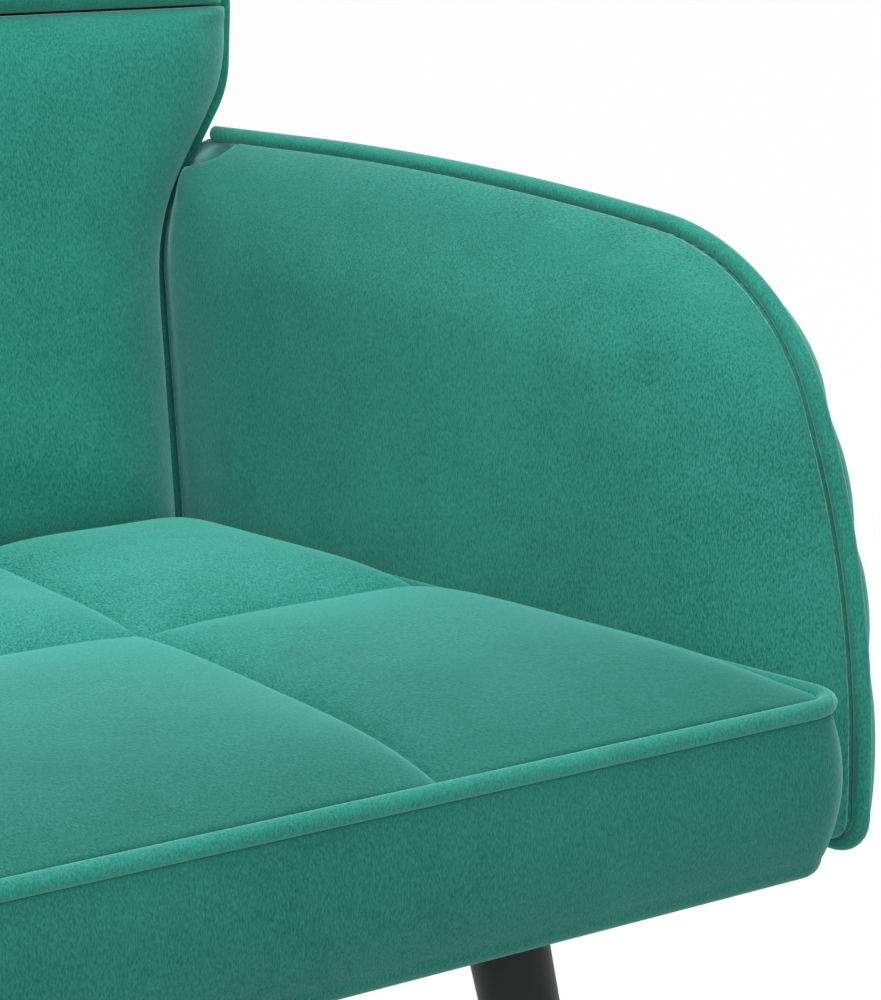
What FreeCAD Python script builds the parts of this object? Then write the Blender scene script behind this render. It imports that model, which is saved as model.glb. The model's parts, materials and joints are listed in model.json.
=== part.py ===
import FreeCAD, Part
import math
import os

# Two-seater sofa: a dowelled timber seat frame on webbing, a back with winged shoulders, two padded
# arms that open towards the front, a quilted seat with piped edges and four splayed steel legs.
# Millimetres and degrees. X runs across the seat, Y from the front to the back, Z up from the floor.

# Seat, measured on the line of its piping
SEAT_WIDTH = 984.0
SEAT_DEPTH = 515.0  # front piping to the face of the back
SEAT_HEIGHT = 430.0  # floor to the middle of the piping
SEAT_CORNER_RADIUS = 19.0
SEAT_COLUMNS = 4
FRONT_ROW_DEPTH = 293.0  # front piping to the cross seam
CELL_RISE = 22.0  # crown of a quilted cell over the piping
SEAM_RISE = 13.0  # sewn line between two columns, half way along a cell
CROSSING_RISE = 9.0  # where the sewn lines cross
SEAM_SLACK = 2.0  # rise of the cloth between crossings, along the cross seams
SEAT_EDGE_RISE = 2.0
QUILT_DROP = 3.0  # underside of the quilted top below the piping line
BORDER_HEIGHT = 93.0
BORDER_THICKNESS = 14.0
BORDER_BULGE = 7.0
BORDER_RETURN = 105.0  # length of the border along each side, hidden by the arms
PIPING_DIAMETER = 10.0

# Arms: U outwards from the seat side, V back along it, W up
ARM_FLARE = 9.8  # angle of each arm to the Y axis
ARM_FRONT = 32.4  # arm front behind the seat front
ARM_RISE = 241.3  # arm top above the seat's piping
ARM_SAG = 7.0  # arm's lower edge below the border's
ARM_FRONT_RADIUS = 544.0
ARM_FRONT_TURN = 21.5
ARM_SHOULDER_RADIUS = 135.0
ARM_SHOULDER_TURN = 61.4
ARM_TOP_RADIUS = 2365.0
ARM_TOE_RADIUS = 16.0
ARM_PAD_THICKNESS = 42.0
ARM_BOARD_THICKNESS = 12.0
ARM_COVER_THICKNESS = 16.0
ARM_PAD_CROWN = ((0.0, 2.5), (0.5, 13.0), (0.8, 36.0), (1.0, 72.0))  # share of thickness, draw-in
ARM_COVER_CROWN = ((0.0, 1.5), (0.5, 2.5), (1.0, 10.0))
CHANNEL_DEPTH = 9.0
CHANNEL_PITCH = 65.0
CHANNEL_FIRST = 46.0  # arm top to the first sewn line
CHANNEL_SEAMS = 4
ARM_RAIL_FRONT = 118.0
ARM_RAIL_REAR = 500.0
ARM_RAIL_LIFT = 16.0  # arm rail above the arm's lower edge
ARM_RAIL_HEIGHT = 44.0

# Back: X across, T rearwards from the face, S up the slope
BACK_RECLINE = 7.0
BACK_RISE = 490.0  # back top above the seat's piping
BACK_LIFT = 6.0  # back's lower edge above the border's
BACK_FOOT_RADIUS = 10.0
BACK_SEAM_SHARE = 0.3226  # seam between the arm top and the back top
FOOT_SPREAD = 10.0  # half widths beyond the rear end of the seat
WAIST_SPREAD = 12.0
WAIST_DROP = 52.0  # waist below the arm top
WAIST_RADIUS = 110.0
WING_SPREAD = 69.0
WING_RISE = 31.0  # wing above the arm top
WING_RADIUS = 60.0
SHOULDER_SPREAD = 75.0  # at the seam
SHOULDER_RADIUS = 150.0
TOP_SPREAD = 82.0
TOP_RADIUS = 95.0
BACK_PAD_THICKNESS = 42.0
BACK_PAD_PROUD = 16.0  # pad crown in front of the face
BACK_PAD_CORNER = 14.0
BACK_PAD_CROWN = ((0.0, 5.0), (0.31, 14.0), (0.62, 24.0), (0.83, 34.0), (1.0, 52.0))  # share, draw-in
BACK_PAD_TUCK = 25.0  # lower edge of the pad below the seat's piping
BACK_SEAM_WIDTH = 14.0  # V of the seam between the two pads
BACK_SEAM_DEPTH = 14.0
BACK_COVER_CROWN = ((0.0, 1.0), (0.6, 2.0), (1.0, 18.0))
BACK_FRAME_THICKNESS = 25.0
BACK_COVER_DEPTH = 18.0
STILE_WIDTH = 55.0
BACK_RAIL_WIDTH = 45.0
BACK_STRAPS = 5

# Timber seat frame
RAIL_THICKNESS = 22.0
RAIL_HEIGHT = 46.0
CENTRE_RAIL_THICKNESS = 30.0
CORNER_BLOCK_LEG = 42.0
BLOCK_HEIGHT = 34.0
LEG_BLOCK_MARGIN = 10.0
DOWEL_DIAMETER = 8.0
DOWEL_LENGTH = 32.0
DOWEL_SPACING = 22.0

# Webbing and dust cover
STRAP_WIDTH = 50.0
STRAP_THICKNESS = 1.5
STRAP_SETBACK = 4.0  # strap end behind the rail's outer face
LENGTHWISE_STRAPS = 4
CROSSWISE_STRAPS = 8
DUST_COVER_THICKNESS = 1.0

# Legs
LEG_DIAMETER = 44.0
FOOT_DIAMETER = 28.0
LEG_WALL = 1.5
LEG_SPLAY = 0.14  # sideways travel for each unit of height, across and along
LEG_SIDE_INSET = 154.0  # seat side to the leg's top
LEG_FRONT_INSET = 70.0
LEG_REAR_INSET = 60.0
LEG_PLATE_SIZE = 76.0
LEG_PLATE_THICKNESS = 3.0
LEG_PLATE_CORNER = 8.0
LEG_SCREW_OFFSET = 28.0
GLIDE_HEIGHT = 6.0
GLIDE_PLUG = 16.0
GLIDE_LIP = 1.0
GLIDE_CHAMFER = 1.5

# Fasteners
SCREW_DIAMETER = 5.0
SCREW_HEAD_DIAMETER = 9.0
SCREW_HEAD_HEIGHT = 2.5
LEG_SCREW_LENGTH = 25.0
ARM_SCREW_LENGTH = 78.0
BOLT_DIAMETER = 8.0
BOLT_HEAD_DIAMETER = 18.0
BOLT_HEAD_HEIGHT = 4.5
ARM_BOLT_LENGTH = 45.0
BACK_BOLT_LENGTH = 36.0
INSERT_DIAMETER = 13.0
INSERT_LENGTH = 15.0
BACK_BOLT_POSITIONS = (0.35, 0.85)  # along the half length of the bottom rail
ARM_BOLT_POSITIONS = (0.2, 0.8)  # along the arm rail
ARM_SCREW_RISES = (-30.0, 70.0)  # above the seat's piping
REAR_BLOCK_DROP = 68.0
REAR_BLOCK_RISE = 110.0
REAR_STRIP_THICKNESS = 7.0

# Clearances
SOFT_GAP = 0.3
HOLE_CLEARANCE = 0.15
TRIM_GAP = 0.5
ARM_SEAT_GAP = 1.0  # arm pad to the border's bulge
ARM_BACK_GAP = 6.0  # arms to the side of the back
SEAT_BACK_GAP = 12.0  # quilted top to the face of the back
FOAM_BACK_GAP = 3.0
SIDE_ROUND = 3.0
LEAST_RADIUS = 1.5
ROUND_SIDES = 6  # bars, screws and welt cords
LEG_SIDES = 16
ROW_STEPS = 4  # facets of the crown along a row of cells
LEAST_LENGTH = 0.001
REACH = 2000.0  # larger than the sofa, for cutting blocks

FLARE = math.radians(ARM_FLARE)
RECLINE = math.radians(BACK_RECLINE)
HALF_SEAT = SEAT_WIDTH / 2
PIPING_RADIUS = PIPING_DIAMETER / 2

# Heights of the layers, from the underside up
UNDERSIDE = SEAT_HEIGHT - BORDER_HEIGHT
DUST_COVER_BOTTOM = UNDERSIDE + LEG_PLATE_THICKNESS
RAIL_BOTTOM = DUST_COVER_BOTTOM + DUST_COVER_THICKNESS
RAIL_TOP = RAIL_BOTTOM + RAIL_HEIGHT
CROSS_STRAP_BOTTOM = RAIL_TOP + STRAP_THICKNESS
FOAM_BOTTOM = CROSS_STRAP_BOTTOM + STRAP_THICKNESS
QUILT_BOTTOM = SEAT_HEIGHT - QUILT_DROP
ARM_HEIGHT = SEAT_HEIGHT + ARM_RISE
ARM_BOTTOM = UNDERSIDE - ARM_SAG
BACK_HEIGHT = SEAT_HEIGHT + BACK_RISE
BACK_BOTTOM = UNDERSIDE + BACK_LIFT
BACK_SEAM_HEIGHT = ARM_HEIGHT + BACK_SEAM_SHARE * (BACK_HEIGHT - ARM_HEIGHT)
FRONT_RAIL_REAR = BORDER_THICKNESS + RAIL_THICKNESS
QUILT_INSET = PIPING_RADIUS + TRIM_GAP

# Layers of an arm, along U
ARM_PAD_INNER = BORDER_BULGE + ARM_SEAT_GAP
ARM_BOARD_INNER = ARM_PAD_INNER + ARM_PAD_THICKNESS
ARM_BOARD_OUTER = ARM_BOARD_INNER + ARM_BOARD_THICKNESS
ARM_COVER_OUTER = ARM_BOARD_OUTER + ARM_COVER_THICKNESS
ARM_BOARD_MIDDLE = (ARM_BOARD_INNER + ARM_BOARD_OUTER) / 2
BOARD_INSET = PIPING_RADIUS + SOFT_GAP

# Layers of the back, along T
BACK_PAD_REAR = BACK_PAD_THICKNESS - BACK_PAD_PROUD
BACK_STRAP_FRONT = BACK_PAD_REAR + SOFT_GAP
BACK_FRAME_FRONT = BACK_STRAP_FRONT + STRAP_THICKNESS
BACK_FRAME_REAR = BACK_FRAME_FRONT + BACK_FRAME_THICKNESS
BACK_PIPING_DEPTH = BACK_FRAME_FRONT + PIPING_RADIUS
BACK_COVER_FRONT = BACK_FRAME_FRONT + PIPING_DIAMETER + TRIM_GAP
BACK_COVER_REAR = BACK_FRAME_REAR + BACK_COVER_DEPTH

UPWARDS = FreeCAD.Vector(0, 0, 1)
FORWARDS = FreeCAD.Vector(0, -1, 0)
OUTWARDS = FreeCAD.Vector(1, 0, 0)
RIGHT_ARM = FreeCAD.Placement(FreeCAD.Vector(HALF_SEAT, 0, 0), FreeCAD.Rotation(UPWARDS, ARM_FLARE))
BACK = FreeCAD.Placement(
    FreeCAD.Vector(0, SEAT_DEPTH, SEAT_HEIGHT), FreeCAD.Rotation(OUTWARDS, -BACK_RECLINE)
)


def plan(z):
    """Points of a level plan at height z."""
    return lambda x, y: FreeCAD.Vector(x, y, z)


def arm_side(u):
    """Points of an upright face of the arm, in the arm's own frame."""
    return lambda v, w: FreeCAD.Vector(u, v, w)


def back_face(t):
    """Points of a face of the back, in the back's own frame."""
    return lambda x, s: FreeCAD.Vector(x, t, s)


def placed(shape, placement):
    """Copy of a shape, moved from a sub-assembly's frame to the sofa's."""
    moved = shape.copy()
    moved.Placement = placement.multiply(moved.Placement)
    return moved


def mirrored(shape):
    """The same shape on the other side of the sofa."""
    return shape.mirror(FreeCAD.Vector(0, 0, 0), OUTWARDS)


def box(low, high):
    """Block between two corners."""
    size = FreeCAD.Vector(*high) - FreeCAD.Vector(*low)
    return Part.makeBox(size.x, size.y, size.z, FreeCAD.Vector(*low))


def ring(radius, centre, heading, sides=ROUND_SIDES):
    """Round section square to a heading, with few sides so that repeated pieces stay light."""
    turn = FreeCAD.Placement(centre, FreeCAD.Rotation(UPWARDS, heading))
    angles = [2 * math.pi * i / sides for i in range(sides + 1)]
    spots = [FreeCAD.Vector(radius * math.cos(a), radius * math.sin(a), 0) for a in angles]
    return Part.makePolygon([turn.multVec(spot) for spot in spots])


def rod(radius, start, end):
    """Round bar between two points."""
    return Part.Face(ring(radius, start, end - start)).extrude(end - start)


def rounded_edges(points, radii, closed):
    """Lines and arcs through flat points, each corner rounded by its radius."""
    count = len(points)
    corners = range(count) if closed else range(1, count - 1)
    entries = list(points)
    exits = list(points)
    arcs = {}
    for i in corners:
        arriving = (points[i] - points[i - 1]).normalize()
        leaving = (points[(i + 1) % count] - points[i]).normalize()
        half_turn = arriving.getAngle(leaving) / 2
        reach = radii[i] * math.tan(half_turn)
        entries[i] = points[i] - arriving * reach
        exits[i] = points[i] + leaving * reach
        bulge = (leaving - arriving).normalize() * (radii[i] / math.cos(half_turn) - radii[i])
        arcs[i] = (entries[i], points[i] + bulge, exits[i])
    pieces = []
    for i in range(count):
        if i in arcs:
            pieces.append(arcs[i])
        after = entries[(i + 1) % count]
        if (closed or i < count - 1) and (after - exits[i]).Length > LEAST_LENGTH:
            pieces.append((exits[i], after))
    return pieces


def rounded_wire(points, radii, closed, place):
    """Wire of rounded_edges, with place turning flat points into points in space."""
    edges = []
    for piece in rounded_edges(points, radii, closed):
        spots = [place(point.x, point.y) for point in piece]
        if len(spots) == 3:
            edges.append(Part.Arc(*spots).toShape())
        else:
            edges.append(Part.makeLine(*spots))
    return Part.Wire(edges)


class Outline:
    """Closed flat outline, anticlockwise, given by its corners as (a, b, radius)."""

    def __init__(self, corners):
        self.points = [FreeCAD.Vector(a, b, 0) for a, b, _ in corners]
        self.radii = [radius for _, _, radius in corners]

    def inset(self, depth):
        """Outline with every side moved inwards; outer corners tighten and inner ones open."""
        corners = []
        count = len(self.points)
        for i, point in enumerate(self.points):
            arriving = (point - self.points[i - 1]).normalize()
            leaving = (self.points[(i + 1) % count] - point).normalize()
            turn = math.atan2(arriving.cross(leaving).z, arriving.dot(leaving))
            inwards = FreeCAD.Vector(-arriving.y, arriving.x, 0)
            moved = point + inwards * depth - arriving * (depth * math.tan(turn / 2))
            radius = max(self.radii[i] - math.copysign(depth, turn), LEAST_RADIUS)
            corners.append((moved.x, moved.y, radius))
        return Outline(corners)

    def wire(self, place):
        """The outline as a wire in space."""
        return rounded_wire(self.points, self.radii, True, place)


def prism(outline, low, high, face):
    """Straight solid of an outline between two levels of a face."""
    rise = face(high)(0, 0) - face(low)(0, 0)
    return Part.Face(outline.wire(face(low))).extrude(rise)


def pillow(outline, levels, face):
    """Padded solid, lofted through the outline drawn in by a depth at each level."""
    wires = [outline.inset(depth).wire(face(level)) for level, depth in levels]
    return Part.makeLoft(wires, True, True)


def piping(path):
    """Round welt cord along a wire."""
    first = path.OrderedEdges[0]
    start = first.valueAt(first.FirstParameter)
    heading = first.tangentAt(first.FirstParameter)
    return path.makePipeShell([ring(PIPING_RADIUS, start, heading)], True, False)


def headed_pin(start, direction, length, diameter, head_diameter, head_height):
    """Screw or bolt, with its head's seat at start and its shank along direction."""
    tip = start + direction * length
    top = start - direction * head_height
    return rod(diameter / 2, start, tip).fuse(rod(head_diameter / 2, top, start)).removeSplitter()


def pin_hole(start, direction, length, diameter):
    """Space for a pin's shank, a little wider and longer than the shank."""
    slack = direction * TRIM_GAP
    return rod(diameter / 2 + HOLE_CLEARANCE, start - slack, start + direction * length + slack)


def spaced(count, low, high):
    """Middles of count equal spaces between low and high."""
    pitch = (high - low) / count
    return [low + pitch * (i + 0.5) for i in range(count)]


# Seat


def side_x(y, outwards):
    """X of a line parallel to the seat's right side, moved outwards from its piping line."""
    return HALF_SEAT - y * math.tan(FLARE) + outwards / math.cos(FLARE)


def seat_plan(inset, rear):
    """Plan of the seat drawn in from the piping line, with a straight rear side."""
    end = rear + inset
    corners = [
        (-HALF_SEAT, 0, SEAT_CORNER_RADIUS),
        (HALF_SEAT, 0, SEAT_CORNER_RADIUS),
        (side_x(end, 0), end, SIDE_ROUND),
        (-side_x(end, 0), end, SIDE_ROUND),
    ]
    return Outline(corners).inset(inset)


def seat_edge_path(length, z):
    """Piping line of the seat: round the front, and back along both sides for a length."""
    reach = FreeCAD.Vector(HALF_SEAT - length * math.sin(FLARE), length * math.cos(FLARE), 0)
    corner = FreeCAD.Vector(HALF_SEAT, 0, 0)
    flip = FreeCAD.Matrix(-1, 0, 0, 0, 0, 1, 0, 0, 0, 0, 1, 0, 0, 0, 0, 1)
    points = [reach, corner, flip.multVec(corner), flip.multVec(reach)]
    radii = [0, SEAT_CORNER_RADIUS, SEAT_CORNER_RADIUS, 0]
    return rounded_wire(points, radii, False, plan(z))


def back_slab(front):
    """Everything behind a plane parallel to the face of the back."""
    return placed(box((-REACH, front, -REACH), (REACH, REACH, REACH)), BACK)


def seat_dowels(slack):
    """Dowel pairs at both ends of the side and centre rails, widened and lengthened by slack."""
    middle = (RAIL_BOTTOM + RAIL_TOP) / 2
    reach = FreeCAD.Vector(0, DOWEL_LENGTH / 2 + slack, 0)
    rods = []
    for joint in (FRONT_RAIL_REAR, SEAT_DEPTH):
        side = side_x(joint, -BORDER_THICKNESS - RAIL_THICKNESS / 2)
        for x in (-side, 0, side):
            for z in (middle - DOWEL_SPACING / 2, middle + DOWEL_SPACING / 2):
                middle_point = FreeCAD.Vector(x, joint, z)
                rods.append(rod(DOWEL_DIAMETER / 2 + slack, middle_point - reach, middle_point + reach))
    return rods


def seat_rails():
    """Rails of the seat frame: front, rear, two sides and centre, bored for their dowels."""
    outer = prism(seat_plan(BORDER_THICKNESS, SEAT_DEPTH + BORDER_RETURN), RAIL_BOTTOM, RAIL_TOP, plan)
    inner = prism(seat_plan(FRONT_RAIL_REAR, SEAT_DEPTH), RAIL_BOTTOM, RAIL_TOP, plan)
    frame = outer.cut(inner).cut(back_slab(BACK_FRAME_FRONT))
    front = box((-REACH, -REACH, 0), (REACH, FRONT_RAIL_REAR, REACH))
    rear = box((-REACH, SEAT_DEPTH, 0), (REACH, REACH, REACH))
    right = box((0, FRONT_RAIL_REAR, 0), (REACH, SEAT_DEPTH, REACH))
    half = CENTRE_RAIL_THICKNESS / 2
    centre = box((-half, FRONT_RAIL_REAR, RAIL_BOTTOM), (half, SEAT_DEPTH, RAIL_TOP))
    rails = {
        "seat_front_rail": frame.common(front),
        "seat_rear_rail": frame.common(rear),
        "seat_side_rail_right": frame.common(right),
        "seat_side_rail_left": mirrored(frame.common(right)),
        "seat_centre_rail": centre,
    }
    holes = seat_dowels(HOLE_CLEARANCE)
    return {name: rail.cut(holes) for name, rail in rails.items()}


def corner_blocks():
    """Triangular glue blocks in the four inner corners of the seat frame."""
    blocks = []
    top = RAIL_TOP - SIDE_ROUND
    for joint, inwards in ((FRONT_RAIL_REAR, 1), (SEAT_DEPTH, -1)):
        far = joint + inwards * CORNER_BLOCK_LEG
        at_joint = side_x(joint, -FRONT_RAIL_REAR)
        at_far = side_x(far, -FRONT_RAIL_REAR)
        spots = [(at_joint, joint), (at_far, far), (at_joint - CORNER_BLOCK_LEG, joint), (at_joint, joint)]
        face = Part.Face(Part.makePolygon([FreeCAD.Vector(x, y, top - BLOCK_HEIGHT) for x, y in spots]))
        block = face.extrude(FreeCAD.Vector(0, 0, BLOCK_HEIGHT))
        blocks += [block, mirrored(block)]
    return blocks


def leg_tops():
    """Leg positions on the underside as (side, end, x, y); side and end are 1 or -1."""
    tops = []
    for end, y in ((-1, LEG_FRONT_INSET), (1, SEAT_DEPTH - LEG_REAR_INSET)):
        for side in (-1, 1):
            tops.append((side, end, side * side_x(y, -LEG_SIDE_INSET), y))
    return tops


def leg_screw_starts(x, y):
    """Places of the four screw heads under a leg's plate."""
    offsets = (-LEG_SCREW_OFFSET, LEG_SCREW_OFFSET)
    return [FreeCAD.Vector(x + dx, y + dy, UNDERSIDE) for dx in offsets for dy in offsets]


def leg_screw_holes():
    """Bores of all leg screws."""
    starts = [start for _, _, x, y in leg_tops() for start in leg_screw_starts(x, y)]
    return [pin_hole(start, UPWARDS, LEG_SCREW_LENGTH, SCREW_DIAMETER) for start in starts]


def leg_blocks():
    """Timber blocks over the legs, glued to the front and rear rails."""
    reach = LEG_PLATE_SIZE / 2 + LEG_BLOCK_MARGIN
    blocks = []
    for _, end, x, y in leg_tops():
        front, rear = (FRONT_RAIL_REAR, y + reach) if end < 0 else (y - reach, SEAT_DEPTH)
        block = box((x - reach, front, RAIL_BOTTOM), (x + reach, rear, RAIL_BOTTOM + BLOCK_HEIGHT))
        blocks.append(block.cut(leg_screw_holes()))
    return blocks


def seat_straps():
    """Webbing of the seat, lengthwise under crosswise, ending on the rails."""
    end = SEAT_DEPTH + RAIL_THICKNESS - STRAP_SETBACK
    area = seat_plan(BORDER_THICKNESS + STRAP_SETBACK, end)
    lower = prism(area, RAIL_TOP, CROSS_STRAP_BOTTOM, plan)
    upper = prism(area, CROSS_STRAP_BOTTOM, FOAM_BOTTOM, plan)
    half = STRAP_WIDTH / 2
    lengthwise = []
    for y in spaced(LENGTHWISE_STRAPS, FRONT_RAIL_REAR, SEAT_DEPTH):
        lengthwise.append(lower.common(box((-REACH, y - half, 0), (REACH, y + half, REACH))))
    crosswise = []
    limit = side_x(SEAT_DEPTH, -FRONT_RAIL_REAR)
    for x in spaced(CROSSWISE_STRAPS, -limit, limit):
        crosswise.append(upper.common(box((x - half, -REACH, 0), (x + half, REACH, REACH))))
    return {"seat_webbing_lengthwise": lengthwise, "seat_webbing_crosswise": crosswise}


def dust_cover():
    """Thin cloth under the seat frame, pierced by the leg screws."""
    area = seat_plan(BORDER_THICKNESS + TRIM_GAP, SEAT_DEPTH + RAIL_THICKNESS - STRAP_SETBACK)
    return prism(area, DUST_COVER_BOTTOM, RAIL_BOTTOM, plan).cut(leg_screw_holes())


def seat_foam():
    """Foam block between the webbing and the quilted top."""
    area = seat_plan(BORDER_THICKNESS + SOFT_GAP, SEAT_DEPTH - FOAM_BACK_GAP)
    return prism(area, FOAM_BOTTOM, QUILT_BOTTOM, plan)


def quilt_section(y, edge, seam, crown):
    """Cross-section of the quilted top: a flat base, and an arc over each column between sewn lines."""
    half = side_x(y, TRIM_GAP - QUILT_INSET)
    column = SEAT_WIDTH / SEAT_COLUMNS
    seams = [column * (i + 1) - HALF_SEAT for i in range(SEAT_COLUMNS - 1)]
    spots = [(-half, edge)] + [(x, seam) for x in seams] + [(half, edge)]
    tops = [FreeCAD.Vector(x, y, SEAT_HEIGHT + rise) for x, rise in spots]
    left = FreeCAD.Vector(-half, y, QUILT_BOTTOM - TRIM_GAP)
    right = FreeCAD.Vector(half, y, QUILT_BOTTOM - TRIM_GAP)
    edges = [Part.makeLine(left, right), Part.makeLine(right, tops[-1])]
    for i in range(SEAT_COLUMNS, 0, -1):
        middle = (tops[i] + tops[i - 1]) / 2
        middle.z = SEAT_HEIGHT + crown
        edges.append(Part.Arc(tops[i], middle, tops[i - 1]).toShape())
    edges.append(Part.makeLine(tops[0], left))
    return Part.Wire(edges)


def quilted_row(start, first_seam, end, last_seam):
    """One row of crowned cells between two cross seams, each seam given by its depth and rise."""
    sections = []
    for step in range(ROW_STEPS + 1):
        share = step / ROW_STEPS
        swell = 4 * share * (1 - share)
        drawn = first_seam + share * (last_seam - first_seam)
        seam = drawn + swell * (SEAM_RISE - drawn)
        crown = drawn + SEAM_SLACK + swell * (CELL_RISE - drawn - SEAM_SLACK)
        sections.append(quilt_section(start + share * (end - start), SEAT_EDGE_RISE, seam, crown))
    return Part.makeLoft(sections, True, True)


def seat_quilted_top():
    """Quilted top: two rows of crowned cells, drawn down along the sewn lines."""
    front = QUILT_INSET - TRIM_GAP
    rear = SEAT_DEPTH - SEAT_BACK_GAP
    front_row = quilted_row(front, SEAT_EDGE_RISE, FRONT_ROW_DEPTH, CROSSING_RISE)
    rear_row = quilted_row(FRONT_ROW_DEPTH, CROSSING_RISE, rear + TRIM_GAP, CROSSING_RISE)
    bounds = prism(seat_plan(QUILT_INSET, rear), QUILT_BOTTOM, SEAT_HEIGHT + 2 * CELL_RISE, plan)
    return front_row.fuse(rear_row).removeSplitter().common(bounds)


def seat_border():
    """Padded band round the seat: full below the piping and drawn in at its lower edge."""
    back = -BORDER_THICKNESS
    welt = PIPING_RADIUS + SOFT_GAP
    shelf = math.sqrt(welt**2 - QUILT_DROP**2)
    belly = (UNDERSIDE + SEAT_HEIGHT) / 2
    hem = UNDERSIDE + BORDER_THICKNESS / 2
    tuck = -BORDER_THICKNESS / 2
    spots = [(back, UNDERSIDE), (back, QUILT_BOTTOM), (-shelf, QUILT_BOTTOM), (0, SEAT_HEIGHT - welt)]
    spots += [(BORDER_BULGE, belly), (0, hem), (tuck, UNDERSIDE)]
    at = [FreeCAD.Vector(u, BORDER_RETURN, w) for u, w in spots]
    section = Part.Wire([
        Part.makeLine(at[0], at[1]),
        Part.makeLine(at[1], at[2]),
        Part.makeLine(at[2], at[3]),
        Part.Arc(at[3], at[4], at[5]).toShape(),
        Part.makeLine(at[5], at[6]),
        Part.makeLine(at[6], at[0]),
    ])
    path = seat_edge_path(BORDER_RETURN, UNDERSIDE)
    return path.makePipeShell([placed(section, RIGHT_ARM)], True, False)


def seat_piping():
    """Welt cord between the quilted top and the border."""
    length = (SEAT_DEPTH - SEAT_BACK_GAP) / math.cos(FLARE)
    return piping(seat_edge_path(length, SEAT_HEIGHT))


# Back


def slope(height):
    """S of a height on the face of the back."""
    return (height - SEAT_HEIGHT) / math.cos(RECLINE)


BACK_FOOT = slope(BACK_BOTTOM)
BACK_TOP = slope(BACK_HEIGHT)
BACK_SEAM = slope(BACK_SEAM_HEIGHT)
BACK_BASE = side_x(SEAT_DEPTH, 0)
STILE_INNER = BACK_BASE - BOARD_INSET - STILE_WIDTH
FOOT = (BACK_BASE + FOOT_SPREAD, BACK_FOOT, BACK_FOOT_RADIUS)
WAIST = (BACK_BASE + WAIST_SPREAD, slope(ARM_HEIGHT - WAIST_DROP), WAIST_RADIUS)
WING = (BACK_BASE + WING_SPREAD, slope(ARM_HEIGHT + WING_RISE), WING_RADIUS)
SHOULDER = (BACK_BASE + SHOULDER_SPREAD, BACK_SEAM, SHOULDER_RADIUS)
CROWN = (BACK_BASE + TOP_SPREAD, BACK_TOP, TOP_RADIUS)


def symmetric(half):
    """Outline from the corners of its right half, listed upwards."""
    left = [(-x, s, radius) for x, s, radius in reversed(half)]
    return Outline(half + left)


def back_outline():
    """Whole back: narrow between the arms, winged above them."""
    return symmetric([FOOT, WAIST, WING, SHOULDER, CROWN])


def back_board():
    """Blank of the back frame, inside the piping."""
    return prism(back_outline().inset(BOARD_INSET), BACK_FRAME_FRONT, BACK_FRAME_REAR, back_face)


def back_rail_spans():
    """Heights of the back's cross rails, as (low, high) along S."""
    foot = BACK_FOOT + BOARD_INSET
    top = BACK_TOP - BOARD_INSET
    return {
        "back_bottom_rail": (foot, foot + BACK_RAIL_WIDTH),
        "back_middle_rail": (BACK_SEAM - BACK_RAIL_WIDTH / 2, BACK_SEAM + BACK_RAIL_WIDTH / 2),
        "back_top_rail": (top - BACK_RAIL_WIDTH, top),
    }


def back_dowels(slack):
    """Dowels where the cross rails meet the stiles, in the back's frame."""
    depth = (BACK_FRAME_FRONT + BACK_FRAME_REAR) / 2
    reach = FreeCAD.Vector(DOWEL_LENGTH / 2 + slack, 0, 0)
    rods = []
    for low, high in back_rail_spans().values():
        for joint in (-STILE_INNER, STILE_INNER):
            middle = FreeCAD.Vector(joint, depth, (low + high) / 2)
            rods.append(rod(DOWEL_DIAMETER / 2 + slack, middle - reach, middle + reach))
    return rods


def back_bolt_starts():
    """Seats of the bolt heads, sunk in the rear face of the bottom rail."""
    low, high = back_rail_spans()["back_bottom_rail"]
    depth = BACK_FRAME_REAR - BOLT_HEAD_HEIGHT - TRIM_GAP
    middle = (low + high) / 2
    offsets = [share * STILE_INNER for share in BACK_BOLT_POSITIONS]
    return [FreeCAD.Vector(side * x, depth, middle) for x in offsets for side in (-1, 1)]


def back_bolt_holes():
    """Bores of the back bolts with room for their heads, in the back's frame."""
    holes = []
    for start in back_bolt_starts():
        holes.append(pin_hole(start, FORWARDS, BACK_BOLT_LENGTH, BOLT_DIAMETER))
        holes.append(rod(BOLT_HEAD_DIAMETER / 2 + HOLE_CLEARANCE, start, start - FORWARDS * REACH))
    return holes


def insert_nut(seat, direction, slack):
    """Threaded insert set into timber along direction; slack widens it into its own pocket."""
    body = rod(INSERT_DIAMETER / 2 + slack, seat, seat + direction * (INSERT_LENGTH + slack))
    if slack:
        return body
    return body.cut(pin_hole(seat, direction, INSERT_LENGTH, BOLT_DIAMETER))


def back_inserts(slack):
    """Inserts in the rear rail for the back bolts."""
    seats = [FreeCAD.Vector(start.x, BACK_FRAME_FRONT, start.z) for start in back_bolt_starts()]
    return [placed(insert_nut(seat, FORWARDS, slack), BACK) for seat in seats]


def arm_screw_starts():
    """Seats of the screw heads on the inner edge of the right stile, in the back's frame."""
    depth = (BACK_COVER_FRONT + BACK_FRAME_REAR) / 2
    return [FreeCAD.Vector(STILE_INNER, depth, slope(SEAT_HEIGHT + rise)) for rise in ARM_SCREW_RISES]


def arm_screw_holes():
    """Bores of the right arm's screws, in the back's frame."""
    return [pin_hole(start, OUTWARDS, ARM_SCREW_LENGTH, SCREW_DIAMETER) for start in arm_screw_starts()]


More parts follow.
